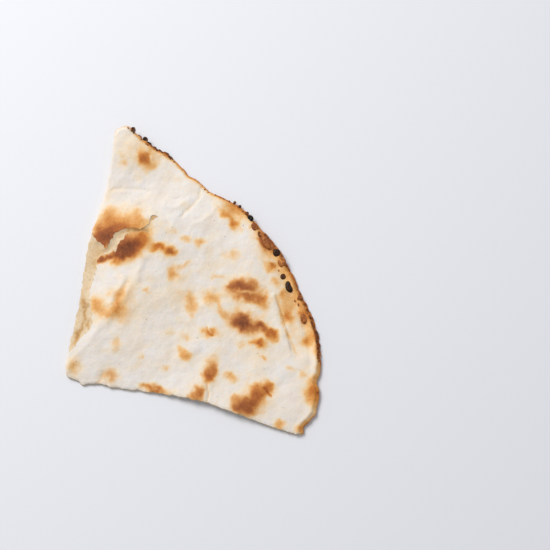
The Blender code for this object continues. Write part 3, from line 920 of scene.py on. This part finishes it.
# %% [markdown]
# ## Baked crust
# The crust of a naan is dry wheat dough with a little flour left on it: matt, pale cream, a touch
# translucent, and gold to brown where it toasted. Browning isn't one line of colours. Thick dough
# goes through tan to a dull brown, thin skin through gold to orange, so there are two ramps, and the
# ember number mixes them. Noise of about 1.3 mm breaks every soft edge into grains.

# %% Crust material
BROWN_RAMP = (
    (0.00, "#ebe4dd"), (0.12, "#eedfc9"), (0.30, "#e8c091"), (0.50, "#d2955a"), (0.65, "#b67442"),
    (0.80, "#985831"), (0.92, "#7b4529"), (1.00, "#3a251b"),
)  # fmt: skip
ORANGE_RAMP = (
    (0.00, "#ebe4dd"), (0.12, "#f1dfc5"), (0.30, "#f1c487"), (0.50, "#e29f54"), (0.65, "#ce7d34"),
    (0.80, "#b1602b"), (0.92, "#884522"), (1.00, "#3c2316"),
)  # fmt: skip
CREAM, FLOUR = "#ecd8bc", "#f4f0ed"
# Each noise: lump size in mm, detail, roughness, and its place in the fourth dimension.
CRUST_NOISES = (
    (1.3, 5.0, 0.68, 0.0), (5.0, 4.0, 0.60, 3.0), (11.0, 3.0, 0.50, 7.0),
    (2.6, 6.0, 0.70, 5.0), (1.3, 5.0, 0.60, 1.0), (0.5, 3.0, 0.60, 9.0),
)  # fmt: skip
GRAIN_ALWAYS, GRAIN_TOASTED = 0.16, 0.62  # how far grain shifts the tone
GRAIN_FADES = 1.15  # grain is strongest at half this tone, since char and pale dough are even
BLOTCH_ALWAYS, BLOTCH_TOASTED = 0.15, 0.24
PALE_FADES = -3.0  # how fast cream and flour vanish as the tone rises
CREAM_PATCH, FLOUR_PATCH = (3.0, -1.25, 0.60, CREAM), (5.0, -2.7, 0.45, FLOUR)  # gain, offset, share, colour
DRY_ROUGHNESS, CHAR_SMOOTHS = 0.80, -0.22
FINE_SHARE = 0.4
CRUST_BUMP = {"Strength": 0.75, "Distance": 0.42 * MM}
CRUST_FINISH = {
    "Subsurface Weight": 0.12, "Subsurface Radius": (1.0, 0.6, 0.35), "Subsurface Scale": 1.2 * MM,
    "Specular IOR Level": 0.15,
}  # fmt: skip


def crust_material():
    """Toast and ember choose the colour, and noise of several sizes breaks it up."""
    material, tree, shader, place = new_material("baked_wheat_crust", CRUST_FINISH)
    toast = add_node(tree, ATTRIBUTE, attribute_name="toast", out="Fac")
    ember = add_node(tree, ATTRIBUTE, attribute_name="ember", out="Fac")
    noises = []
    for size, detail, rough, level in CRUST_NOISES:
        inputs = {"Vector": place, "W": level, "Scale": lumps(size), "Detail": detail, "Roughness": rough}
        noises.append(add_node(tree, NOISE, inputs, noise_dimensions="4D"))
    grain, blotch, wide, dusty, relief, fine = noises

    left = add_node(tree, MATH, {0: GRAIN_FADES, 1: toast}, operation="SUBTRACT")
    half_way = add_node(tree, MATH, {0: toast, 1: left}, operation="MULTIPLY")
    tone = toast
    for noise_value, grows_with, gain, always, clamped in (
        (grain, half_way, GRAIN_TOASTED, GRAIN_ALWAYS, False),
        (blotch, toast, BLOTCH_TOASTED, BLOTCH_ALWAYS, True),
    ):
        reach = add_node(tree, MATH, {0: grows_with, 1: gain, 2: always}, operation="MULTIPLY_ADD")
        tone = varied(tree, tone, noise_value, reach, clamped)
    ramps = [add_node(tree, RAMP, {"Fac": tone}, stops) for stops in (BROWN_RAMP, ORANGE_RAMP)]
    baked = add_node(tree, MIX, {0: ember, 6: ramps[0], 7: ramps[1]}, data_type="RGBA", out=2)

    pale = add_node(tree, MATH, {0: tone, 1: PALE_FADES, 2: 1.0}, operation="MULTIPLY_ADD", use_clamp=True)
    for noise_value, (gain, offset, share, colour) in ((wide, CREAM_PATCH), (dusty, FLOUR_PATCH)):
        patch = {0: noise_value, 1: gain, 2: offset}
        patch = add_node(tree, MATH, patch, operation="MULTIPLY_ADD", use_clamp=True)
        for factor in (pale, share):
            patch = add_node(tree, MATH, {0: patch, 1: factor}, operation="MULTIPLY")
        baked = add_node(tree, MIX, {0: patch, 6: baked, 7: linear(colour)}, data_type="RGBA", out=2)

    dry = add_node(tree, MATH, {0: tone, 1: CHAR_SMOOTHS, 2: DRY_ROUGHNESS}, operation="MULTIPLY_ADD")
    relief = add_node(tree, MATH, {0: fine, 1: FINE_SHARE, 2: relief}, operation="MULTIPLY_ADD")
    relief = add_node(tree, BUMP, {**CRUST_BUMP, "Height": relief})
    join_to(tree, shader, {"Base Color": baked, "Roughness": dry, "Normal": relief})
    return material


crust = crust_material()
bread.data.materials.append(crust)
print("material:", crust.name)

# %% [markdown]
# ## Torn crumb
# Where dough was torn or cut it shows its crumb: moist cream strands round small gas holes. The holes
# are the cells of a Voronoi pattern of about 1.7 mm, sunk by bump, with painted shade inside them.

# %% Crumb material
CRUMB_RAMP = ((0.00, "#ead9c0"), (0.20, "#dcc5a3"), (0.40, "#cda877"), (0.62, "#ad7d48"), (1.00, "#5a3a24"))
# The colour of the painted shade inside the gas holes.
HOLE_SHADE_COLOUR = "#b78f60"
STRAND_SIZE, HOLE_SIZE = 1.4, 1.7
STRAND_TONE = 0.34
HOLE_GAIN, HOLE_OFFSET = -0.6, 0.24  # a hole is tinted only close to the middle of its cell
CRUMB_BUMP = {"Strength": 0.6, "Distance": 0.32 * MM}
CRUMB_FINISH = {
    "Roughness": 0.86, "Subsurface Weight": 0.15, "Subsurface Radius": (1.0, 0.65, 0.4),
    "Subsurface Scale": 1.2 * MM, "Specular IOR Level": 0.2,
}  # fmt: skip


def crumb_material():
    """Strands of cream dough with small holes between them, darkened by painted shade."""
    material, tree, shader, place = new_material("torn_wheat_crumb", CRUMB_FINISH)
    toast = add_node(tree, ATTRIBUTE, attribute_name="toast", out="Fac")
    strands = {"Vector": place, "Scale": lumps(STRAND_SIZE), "Detail": 5.0, "Roughness": 0.6}
    strands = add_node(tree, NOISE, strands)
    holes = {"Vector": place, "Scale": lumps(HOLE_SIZE)}
    holes = add_node(tree, "ShaderNodeTexVoronoi", holes, feature="SMOOTH_F1")
    colour = add_node(tree, RAMP, {"Fac": varied(tree, toast, strands, STRAND_TONE)}, CRUMB_RAMP)
    # Painted shade in the holes: only the middle of each hole's cell is mixed towards the darker colour.
    inside = {0: holes, 1: HOLE_GAIN, 2: HOLE_OFFSET}
    inside = add_node(tree, MATH, inside, operation="MULTIPLY_ADD", use_clamp=True)
    colour = add_node(tree, MIX, {0: inside, 6: colour, 7: linear(HOLE_SHADE_COLOUR)}, data_type="RGBA", out=2)
    height = add_node(tree, MATH, {0: strands, 1: holes}, operation="ADD")
    height = add_node(tree, BUMP, {**CRUMB_BUMP, "Height": height})
    join_to(tree, shader, {"Base Color": colour, "Normal": height})
    return material


crumb = crumb_material()
bread.data.materials.append(crumb)
print("material:", crumb.name)

# %% [markdown]
# ## Small things that repeat
# Along the scorched rim sit burst bubbles of char, thin flakes have lifted off near the tip, a few
# shreds hang on the torn lip, and crumbs lie below it. Geometry Nodes put a small shape on many
# places. Each tree has named inputs and a fixed seed, and ends by making its copies real and painting
# them, because copies that stay instances are lost when the bread is exported.

# %% What the trees share
SHARED_INPUTS = (
    ("Geometry", "Geometry"), ("Shape", "Object"), ("Material", "Material"), ("Seed", "Int"),
    ("Smallest", "Float"), ("Largest", "Float"), ("Lump length", "Float"), ("Lump height", "Float"),
)  # fmt: skip
RANDOM, STORED = "FunctionNodeRandomValue", "GeometryNodeInputNamedAttribute"
VECTORS = {"data_type": "FLOAT_VECTOR"}


def new_tree(name, own_inputs=()):
    """A tree with named inputs, and the sockets that give their values."""
    tree = bpy.data.node_groups.new(name, "GeometryNodeTree")
    for label, kind in (*SHARED_INPUTS, *own_inputs):
        tree.interface.new_socket(label, in_out="INPUT", socket_type="NodeSocket" + kind)
    tree.interface.new_socket("Geometry", in_out="OUTPUT", socket_type="NodeSocketGeometry")
    return tree, add_node(tree, "NodeGroupInput", out=WHOLE_NODE).outputs


def finish_tree(tree, given, places, facing, size):
    """Puts the shape on the places, makes it real, gives each copy its own lumps, and paints it."""
    shape = add_node(tree, "GeometryNodeObjectInfo", {"Object": given["Shape"]}, out="Geometry")
    copies = {"Points": places, "Instance": shape, "Rotation": facing, "Scale": size}
    copies = add_node(tree, "GeometryNodeInstanceOnPoints", copies)
    solid = add_node(tree, "GeometryNodeRealizeInstances", {"Geometry": copies})
    place = add_node(tree, "GeometryNodeInputPosition")
    fineness = add_node(tree, MATH, {0: 1.0, 1: given["Lump length"]}, operation="DIVIDE")
    shift = add_node(tree, NOISE, {"Vector": place, "Scale": fineness, "Detail": 1.0}, out="Color")
    shift = add_node(tree, VECTOR_MATH, {0: shift, 1: (MIDDLE_OF_NOISE,) * 3}, operation="SUBTRACT")
    shift = add_node(tree, VECTOR_MATH, {0: shift, "Scale": given["Lump height"]}, operation="SCALE")
    solid = add_node(tree, "GeometryNodeSetPosition", {"Geometry": solid, "Offset": shift})
    solid = add_node(tree, "GeometryNodeSetMaterial", {"Geometry": solid, "Material": given["Material"]})
    add_node(tree, "NodeGroupOutput", {0: solid}, out=WHOLE_NODE)
    return tree


print("inputs that every tree has:", len(SHARED_INPUTS))

# %% A tree that puts one copy on each point
def tree_for_places():
    """One copy on every point of the carrier, as large and as turned as the point says."""
    tree, given = new_tree("one_on_each_point")
    turned, size = (add_node(tree, STORED, {"Name": name}, **VECTORS) for name in ("turned", "size"))
    facing = add_node(tree, "FunctionNodeEulerToRotation", {0: turned})
    return finish_tree(tree, given, given["Geometry"], facing, size)


on_points = tree_for_places()
print("nodes in", on_points.name + ":", len(on_points.nodes))

# %% A tree that scatters copies along a line
SHIFT_REACH = ((-1.0, -1.0, -0.4), (1.0, 1.0, 0.4))  # of the spread, flatter than wide
TILT_REACH = ((-0.7, -0.7, -0.5), (0.7, 0.7, 0.5))


def tree_for_lines():
    """Copies along a line, where the line's own value says how likely one is."""
    tree, given = new_tree("scattered_along_a_line", (("Spacing", "Float"), ("Spread", "Float")))
    line = add_node(tree, "GeometryNodeMeshToCurve", {"Mesh": given["Geometry"]})
    line = {"Curve": line, "Length": given["Spacing"]}
    line = add_node(tree, "GeometryNodeResampleCurve", line, mode="LENGTH")
    places = add_node(tree, "GeometryNodeCurveToPoints", {"Curve": line}, mode="EVALUATED")
    likely = add_node(tree, STORED, {"Name": "likely"}, data_type="FLOAT")
    drawn = add_node(tree, RANDOM, {2: 0.0, 3: 1.0, "Seed": given["Seed"]}, out=1)
    left_out = add_node(tree, MATH, {0: drawn, 1: likely}, operation="GREATER_THAN")
    places = add_node(tree, "GeometryNodeDeleteGeometry", {"Geometry": places, "Selection": left_out})
    drawn = []
    for offset, (low, high) in ((1.0, SHIFT_REACH), (2.0, TILT_REACH)):
        seed = add_node(tree, MATH, {0: given["Seed"], 1: offset})
        values = {0: low, 1: high, "Seed": seed}
        drawn.append(add_node(tree, RANDOM, values, **VECTORS))
    shift, tilt = drawn
    shift = add_node(tree, VECTOR_MATH, {0: shift, "Scale": given["Spread"]}, operation="SCALE")
    places = add_node(tree, "GeometryNodeSetPosition", {"Geometry": places, "Offset": shift})
    facing = add_node(tree, STORED, {"Name": "facing"}, **VECTORS)
    facing = add_node(tree, VECTOR_MATH, {0: facing, 1: tilt}, operation="ADD")
    facing = add_node(tree, "FunctionNodeAlignRotationToVector", {"Vector": facing}, axis="Z")
    size = add_node(tree, RANDOM, {2: given["Smallest"], 3: given["Largest"], "Seed": seed}, out=1)
    return finish_tree(tree, given, places, facing, size)


along_line = tree_for_lines()
print("nodes in", along_line.name + ":", len(along_line.nodes))

# %% A tree that scatters copies over a surface
TURN_REACH = ((0.0, 0.0, 0.0), (0.6, 0.6, math.tau))


def tree_for_surfaces():
    """Copies over faces, so many for each square metre, turned and sized at random."""
    tree, given = new_tree("scattered_on_a_surface", (("Density", "Float"),))
    spread = {"Mesh": given["Geometry"], "Density": given["Density"], "Seed": given["Seed"]}
    spread = add_node(tree, "GeometryNodeDistributePointsOnFaces", spread, out=WHOLE_NODE)
    seed = add_node(tree, MATH, {0: given["Seed"], 1: 1.0})
    turn = add_node(tree, RANDOM, {0: TURN_REACH[0], 1: TURN_REACH[1], "Seed": seed}, **VECTORS)
    facing = {"Rotation": spread.outputs["Rotation"], "Rotate By": turn}
    facing = add_node(tree, "FunctionNodeRotateRotation", facing, rotation_space="LOCAL")
    size = add_node(tree, RANDOM, {2: given["Smallest"], 3: given["Largest"], "Seed": seed}, out=1)
    return finish_tree(tree, given, spread.outputs["Points"], facing, size)


on_surface = tree_for_surfaces()
print("nodes in", on_surface.name + ":", len(on_surface.nodes))

# %% [markdown]
# ## Charred dough
# Char is nearly black but never quite: thin crusts of it are red-brown where light comes through, and
# the skin of a burst bubble has a dull shine. The tone of each piece says how far it has gone.

# %% Char material
CHAR_RAMP = ((0.00, "#c98644"), (0.25, "#955428"), (0.50, "#5d3519"), (0.75, "#2f1c0f"), (1.00, "#170f08"))
CHAR_GRAIN, CHAR_VARIES = 1.1, 0.8
CHAR_BUMP = {"Strength": 0.5, "Distance": 0.2 * MM}
CHAR_FINISH = {"Roughness": 0.42, "Specular IOR Level": 0.16}


def char_material():
    """The tone that each piece holds, varied by grain, gives its colour."""
    material, tree, shader, place = new_material("charred_dough", CHAR_FINISH)
    tone = add_node(tree, ATTRIBUTE, attribute_name="tone", out="Fac")
    grain = {"Vector": place, "Scale": lumps(CHAR_GRAIN), "Detail": 4.0, "Roughness": 0.6}
    grain = add_node(tree, NOISE, grain)
    colour = add_node(tree, RAMP, {"Fac": varied(tree, tone, grain, CHAR_VARIES)}, CHAR_RAMP)
    height = add_node(tree, BUMP, {**CHAR_BUMP, "Height": grain})
    join_to(tree, shader, {"Base Color": colour, "Normal": height})
    return material


char = char_material()
print("material:", char.name)

# %% [markdown]
# ## Shapes to place
# Four small shapes are enough: a bubble whose top has burst, a thin curled flake, a pointed shred and
# a grain. Each is about two units across or long, and has few faces, because it is repeated. All are
# closed shapes turned about Z from a rule for their outline. Their own lumps come later, from the tree.

# %% The small shapes
FOOT = 0.3  # how far a bubble reaches below its middle, as a share of its height above it
FALLEN, FALLEN_WIDTH = 0.42, 0.20  # how far its burst top has sunk, and over what part of the outline
SHRED_WIDTH, SHRED_TAPER = 0.5, 1.3
SHRED_FOOT, SHRED_LENGTH = -0.4, 2.2
FLAKE_THICKNESS, FLAKE_CURL = 0.10, 0.45


def burst_bubble(share):
    """Radius and height of a round bubble, from its foot at 0 to its fallen top at 1."""
    fallen = FALLEN * math.exp(-(((share - 1.0) / FALLEN_WIDTH) ** 2))
    height = -math.cos(math.pi * share)
    return math.sin(math.pi * share), height * (FOOT if height < 0 else 1.0) - fallen


def round_grain(share):
    """Radius and height of a ball."""
    return math.sin(math.pi * share), -math.cos(math.pi * share)


def pointed_shred(share):
    """Radius and height of a long drop that ends in a point."""
    width = SHRED_WIDTH * math.sin(math.pi * share) * (SHRED_TAPER - share)
    return width, SHRED_FOOT + SHRED_LENGTH * share


def curled_flake(share):
    """Radius and height of a thin dish: its lower side up to the edge at a half, then its upper side."""
    side = FLAKE_THICKNESS if share > 0.5 else -FLAKE_THICKNESS
    span = math.sin(math.pi * share)
    return span, side * (1 - span) + FLAKE_CURL * span * span


def turned_shape(name, outline_of, rows, turns):
    """A closed mesh turned about Z."""
    points, faces = [(0.0, 0.0, outline_of(0.0)[1])], []
    for row in range(1, rows):
        span, height = outline_of(row / rows)
        angles = [math.tau * (turn + 0.5 * (row % 2)) / turns for turn in range(turns)]
        points += [(span * math.cos(angle), span * math.sin(angle), height) for angle in angles]
    points.append((0.0, 0.0, outline_of(1.0)[1]))
    for turn in range(turns):
        here, there = 1 + turn, 1 + (turn + 1) % turns
        last = (rows - 2) * turns
        faces += [(0, there, here), (len(points) - 1, last + here, last + there)]
        for above in range(0, last, turns):
            faces.append((above + here, above + there, above + turns + there, above + turns + here))
    mesh = bpy.data.meshes.new(name)
    mesh.from_pydata(points, [], faces)
    mesh.shade_smooth()
    return new_piece(name, mesh)


bubble_shape = turned_shape("bubble_shape", burst_bubble, rows=12, turns=18)
grain_shape = turned_shape("grain_shape", round_grain, rows=5, turns=7)
shred_shape = turned_shape("shred_shape", pointed_shred, rows=6, turns=6)
flake_shape = turned_shape("flake_shape", curled_flake, rows=6, turns=9)
print("faces of a bubble:", len(bubble_shape.data.polygons))

# %% Grow a piece on a carrier
def chain(count):
    """The edges of a line through this many points."""
    return list(zip(range(count - 1), range(1, count)))


def grown(name, carrier, tree, shape, material, seed, density=0.0, **lengths):
    """A plain mesh piece that a tree grows on a carrier mesh. Lengths are in millimetres."""
    piece = new_piece(name, carrier)
    modifier = piece.modifiers.new(name, "NODES")
    modifier.node_group = tree
    wanted = {"Shape": shape, "Material": material, "Seed": seed, "Density": density}
    wanted |= {label.capitalize().replace("_", " "): length * MM for label, length in lengths.items()}
    for item in tree.interface.items_tree:
        if item.in_out == "INPUT" and item.name in wanted:
            modifier[item.identifier] = wanted[item.name]
    solid = bpy.data.meshes.new_from_object(piece.evaluated_get(bpy.context.evaluated_depsgraph_get()))
    piece.modifiers.clear()
    piece.data = solid
    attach(piece, "root")
    print(name + ":", len(solid.polygons), "faces")
    return piece


def nearest(places):
    """The number of the plan point nearest to each place."""
    return np.array([int(np.argmin((X - x) ** 2 + (Y - y) ** 2)) for x, y in np.asarray(places)[:, :2]])


def carrier_mesh(name, places, edges=(), faces=(), **values):
    """Points, lines or faces that carry numbers and vectors for a tree to read."""
    mesh = bpy.data.meshes.new(name)
    mesh.from_pydata(to_frame(places).tolist(), list(edges), list(faces))
    add_values(mesh, **values)
    return mesh


# %% [markdown]
# ## Burst bubbles and flakes with places of their own
# The largest bubbles are few, and each has its own place, size and darkness. They stand on the rolled
# lip and in the valley just inside it. Near the tip the crust blew apart, and stiff flakes stand off
# the edge.

# %% Large bubbles and flakes
# Each: x, y, half-width, half-length, turn in degrees, darkness, and the share of the half-width it is sunk.
RIM_BUBBLES = (
    (80.3, 123.6, 2.1, 2.1, 0, 1, 0), (84.3, 118.6, 1.9, 2.8, 40, 0.3, 0.35),
    (77.6, 127, 1, 1, 0, 0.6, 0.3), (72.2, 130, 1, 1.2, 0, 0.6, 0.3),
    (68.6, 131.6, 0.9, 1.1, 0, 0.5, 0.3), (93.6, 110.6, 2.3, 5, 42, 0.22, 0.35),
    (88.4, 114.6, 1.2, 2.2, 40, 0.4, 0.35), (101, 105.8, 2.3, 2.4, 0, 0.74, 0.1),
    (97.8, 108, 1.2, 2.2, 60, 0.26, 0.4), (105.4, 101.2, 2.6, 3.4, 24, 0.18, 0.6),
    (108.1, 92.8, 2, 2, 0, 0.62, 0.3), (104.6, 95.6, 1.1, 1.1, 0, 0.1, 0.5),
    (113.4, 87.8, 2.7, 3.8, 28, 0.74, 0.3), (120.8, 82.2, 1.5, 1.8, 0, 0.3, 0.4),
    (118.8, 80.2, 1, 1, 0, 0.3, 0.4), (121.4, 78.6, 1, 1.2, 0, 0.36, 0.4),
    (126.3, 70.9, 2.2, 3.2, 20, 0.22, 0.7), (129, 72.4, 1.1, 1.3, 0, 0.4, 0.4),
)  # fmt: skip
TIP_FLAKES = (
    (-3.4, 161.6, 1.6, 2.4, 10, 0.55, 0.5), (1.2, 158.2, 1.6, 2, 50, 0.34, 0.6),
    (5.2, 157.4, 1.8, 2.8, 8, 0.72, 0.5), (8, 155.2, 1.9, 2.2, 50, 0.62, 0.5),
    (11.6, 153.8, 1.7, 2.6, 70, 0.5, 0.5), (15.4, 152.8, 1.6, 2.4, 75, 0.62, 0.5),
    (19.4, 152, 1.9, 2.8, 80, 0.46, 0.5), (22.8, 150.6, 1.4, 2, 70, 0.5, 0.5),
)  # fmt: skip
BUBBLE_HEIGHT, FLAKE_HEIGHT = 0.8, 0.9  # as shares of the smaller half-width
CLEAR = 0.5  # a bubble or flake is placed at least this far above the underside


def on_the_rim(rows, height_share):
    """Where each row's copy sits, with its size, turn and darkness."""
    x, y, wide, long, turn, dark, sunk = np.array(rows, float).T
    flat = np.column_stack([x, y])
    at, high = nearest(flat), height_share * np.minimum(wide, long)
    z = np.maximum(top_z[at] - sunk * wide, under_z[at] + FOOT * high + CLEAR)
    size = np.column_stack([wide, long, high]) * MM
    turned = np.column_stack([0 * x, 0 * x, np.radians(turn)])
    return {"places": np.column_stack([flat, z]), "size": size, "turned": turned, "tone": dark}


grown(
    "charred_bubbles", carrier_mesh("bubble_points", **on_the_rim(RIM_BUBBLES, BUBBLE_HEIGHT)),
    on_points, bubble_shape, char, SEED, lump_length=1.9, lump_height=0.55,
)  # fmt: skip
grown(
    "tip_flakes", carrier_mesh("flake_points", **on_the_rim(TIP_FLAKES, FLAKE_HEIGHT)),
    on_points, flake_shape, char, SEED, lump_length=1.2, lump_height=1.3,
)  # fmt: skip

# %% [markdown]
# ## Pimples along the rim
# Small pimples follow the scorched stretches of the rim, and the most burnt stretch has a crust of
# char. The carrier is a line just inside the rim, which says how likely a piece is at each place.

# %% Along the rim
PIMPLE_SINK, PIMPLE_LOWEST = 0.25, 1.9
LINE_INSET, LINE_STEP = 0.9, 0.35  # millimetres in from the rim, and degrees between the line's points
LINE_ENDS = (1, 0.8)  # degrees that the line leaves free at the corner and at the tip
OUTWARDS, UPWARDS = 0.8, 0.6
CHAR_CRUST_AT = ((23.2, 4.4, 0.8), (51, 2, 0.2), (57.5, 1.6, 0.3))
PIMPLES_AT = (
    (12, 3, 0.2), (34, 8, 0.4), (47, 4, 0.4), (57, 4, 0.7), (64, 4, 0.6), (72, 6, 0.25), (86, 5, 0.5),
)  # fmt: skip
CHAR_CRUST_TONE, PIMPLE_TONE = 0.38, 0.32


def rim_line(name, stretches, tone):
    """A line just inside the rim, likely to bear pieces in the given stretches of bearing."""
    bearings = steps(RIM_FROM + LINE_ENDS[0], RIM_TO - LINE_ENDS[1], LINE_STEP)
    spans = NAAN_RADIUS + swells(bearings, RIM_SWELLS) - LINE_INSET
    out = np.column_stack([np.cos(np.radians(bearings)), np.sin(np.radians(bearings))])
    places = np.column_stack([out * spans[:, None], np.zeros(len(out))])
    at = nearest(places)
    places[:, 2] = np.maximum(top_z[at] - PIMPLE_SINK, under_z[at] + PIMPLE_LOWEST)
    facing = np.column_stack([out * OUTWARDS, np.full(len(out), UPWARDS)])
    likely, tones_here = swells(bearings, stretches), np.full(len(out), tone)
    return carrier_mesh(name, places, edges=chain(len(out)), likely=likely, facing=facing, tone=tones_here)


grown(
    "char_crust", rim_line("char_line", CHAR_CRUST_AT, CHAR_CRUST_TONE), along_line,
    grain_shape, char, seed=21,
    spacing=0.45, smallest=0.45, largest=0.95, spread=0.7, lump_length=1.1, lump_height=0.5,
)  # fmt: skip
grown(
    "rim_pimples", rim_line("rim_line", PIMPLES_AT, PIMPLE_TONE), along_line,
    grain_shape, char, seed=5,
    spacing=1.0, smallest=0.25, largest=0.7, spread=0.9, lump_length=0.8, lump_height=0.35,
)  # fmt: skip

# %% [markdown]
# ## Shreds and crumbs at the tear
# A few shreds still hang on the torn lip and point over the opening, and the sheltered layer below
# holds loose crumbs. Both are torn crumb, browned like the dough they came from.

# %% Along the tear
SHRED_CHANCE = 0.08
SHRED_RISES, SHRED_DEPTH = 0.15, 0.35  # how steeply a shred points up, and how far below the top it starts
CRUMB_LIFT = 0.05
tear_at = nearest(tear)
lip_way = np.column_stack([away_from(lip)[tear_at], np.full(len(tear), SHRED_RISES)])
shred_places = np.column_stack([tear, top_z[tear_at] - SHRED_DEPTH])
shred_tones = TORN_BASE + LIP_BROWNING * top_toast[tear_at]
shred_line = carrier_mesh(
    "shred_line", shred_places, edges=chain(len(tear)),
    likely=np.full(len(tear), SHRED_CHANCE), facing=lip_way, toast=shred_tones,
)  # fmt: skip
grown(
    "torn_shreds", shred_line, along_line, shred_shape, crumb, seed=11,
    spacing=0.9, smallest=0.25, largest=0.60, spread=0.15, lump_length=0.9, lump_height=0.4,
)  # fmt: skip


def patch_mesh(name, chosen, heights, **values):
    """The chosen plan triangles as a mesh at these heights, with values for its points."""
    used, corners = np.unique(triangles[chosen], return_inverse=True)
    places = np.column_stack([plan, heights])[used]
    held = {label: value[used] for label, value in values.items()}
    return carrier_mesh(name, places, faces=corners.reshape(-1, 3).tolist(), **held)


grown(
    "loose_crumbs", patch_mesh("torn_patch", in_mouth, floor_z + CRUMB_LIFT, toast=tones[FLOOR]),
    on_surface, grain_shape, crumb, seed=3, density=3.0e4,
    smallest=0.15, largest=0.36, lump_length=0.7, lump_height=0.30,
)  # fmt: skip

# %% [markdown]
# ## Specks on the crust
# A few specks of bran and oven char stick to the pale crust. They are thinly scattered, so they read
# as specks and not as a texture.

# %% Specks
SPECK_MARGIN, SPECK_TONE = 3, 0.5
far_from_edges = (to_edge[triangles].min(axis=1) > SPECK_MARGIN) & ~in_mouth & ~in_gap
speck_tones = np.full(len(plan), SPECK_TONE)
grown(
    "bran_specks", patch_mesh("top_patch", far_from_edges, top_z, tone=speck_tones),
    on_surface, grain_shape, char, seed=17, density=2.5e3,
    smallest=0.08, largest=0.24, lump_length=0.5, lump_height=0.2,
)  # fmt: skip
for shape in (bubble_shape, grain_shape, shred_shape, flake_shape):
    bpy.data.objects.remove(shape)

# %% [markdown]
# ## The table and the light
# A plain pale floor and two soft lights: a wide one from the upper left, as from a window, and a pale
# sky all round that keeps the shadows light. Standard view keeps pale dough pale.

# %% Floor, lights and view
FLOOR_SIZE = 3.0
KEY_AZIMUTH, KEY_ELEVATION = -122.0, 50.0
KEY_DISTANCE, KEY_SIZE, KEY_POWER = 1.6, 0.8, 21.0
SKY_COLOUR, SKY_STRENGTH = "#f4f5f9", 0.44
BOARD_FINISH = {"Base Color": linear("#e9eaee"), "Roughness": 0.9}

half = FLOOR_SIZE / 2
floor_mesh = bpy.data.meshes.new("table_floor")
floor_corners = [(-half, -half, 0), (half, -half, 0), (half, half, 0), (-half, half, 0)]
floor_mesh.from_pydata(floor_corners, [], [(0, 1, 2, 3)])
table = new_piece("table_floor", floor_mesh)
board, *_ = new_material("matt_white_board", BOARD_FINISH)
table.data.materials.append(board)

key = bpy.data.objects.new("key_light", bpy.data.lights.new("key_light", "AREA"))
key.data.size = KEY_SIZE
key.data.energy = KEY_POWER
towards_key = direction(KEY_AZIMUTH, KEY_ELEVATION)
key.location = towards_key * KEY_DISTANCE
key.rotation_euler = towards_key.to_track_quat("Z", "Y").to_euler()
bpy.context.scene.collection.objects.link(key)

world = bpy.data.worlds.new("pale_sky")
world.use_nodes = True
sky = world.node_tree.nodes["Background"]
sky.inputs["Color"].default_value = linear(SKY_COLOUR)
sky.inputs["Strength"].default_value = SKY_STRENGTH
bpy.context.scene.world = world
bpy.context.scene.view_settings.view_transform = "Standard"
print("lights:", key.name, "and", world.name)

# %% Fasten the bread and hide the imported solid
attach(bread, "root")
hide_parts("naan_quarter")
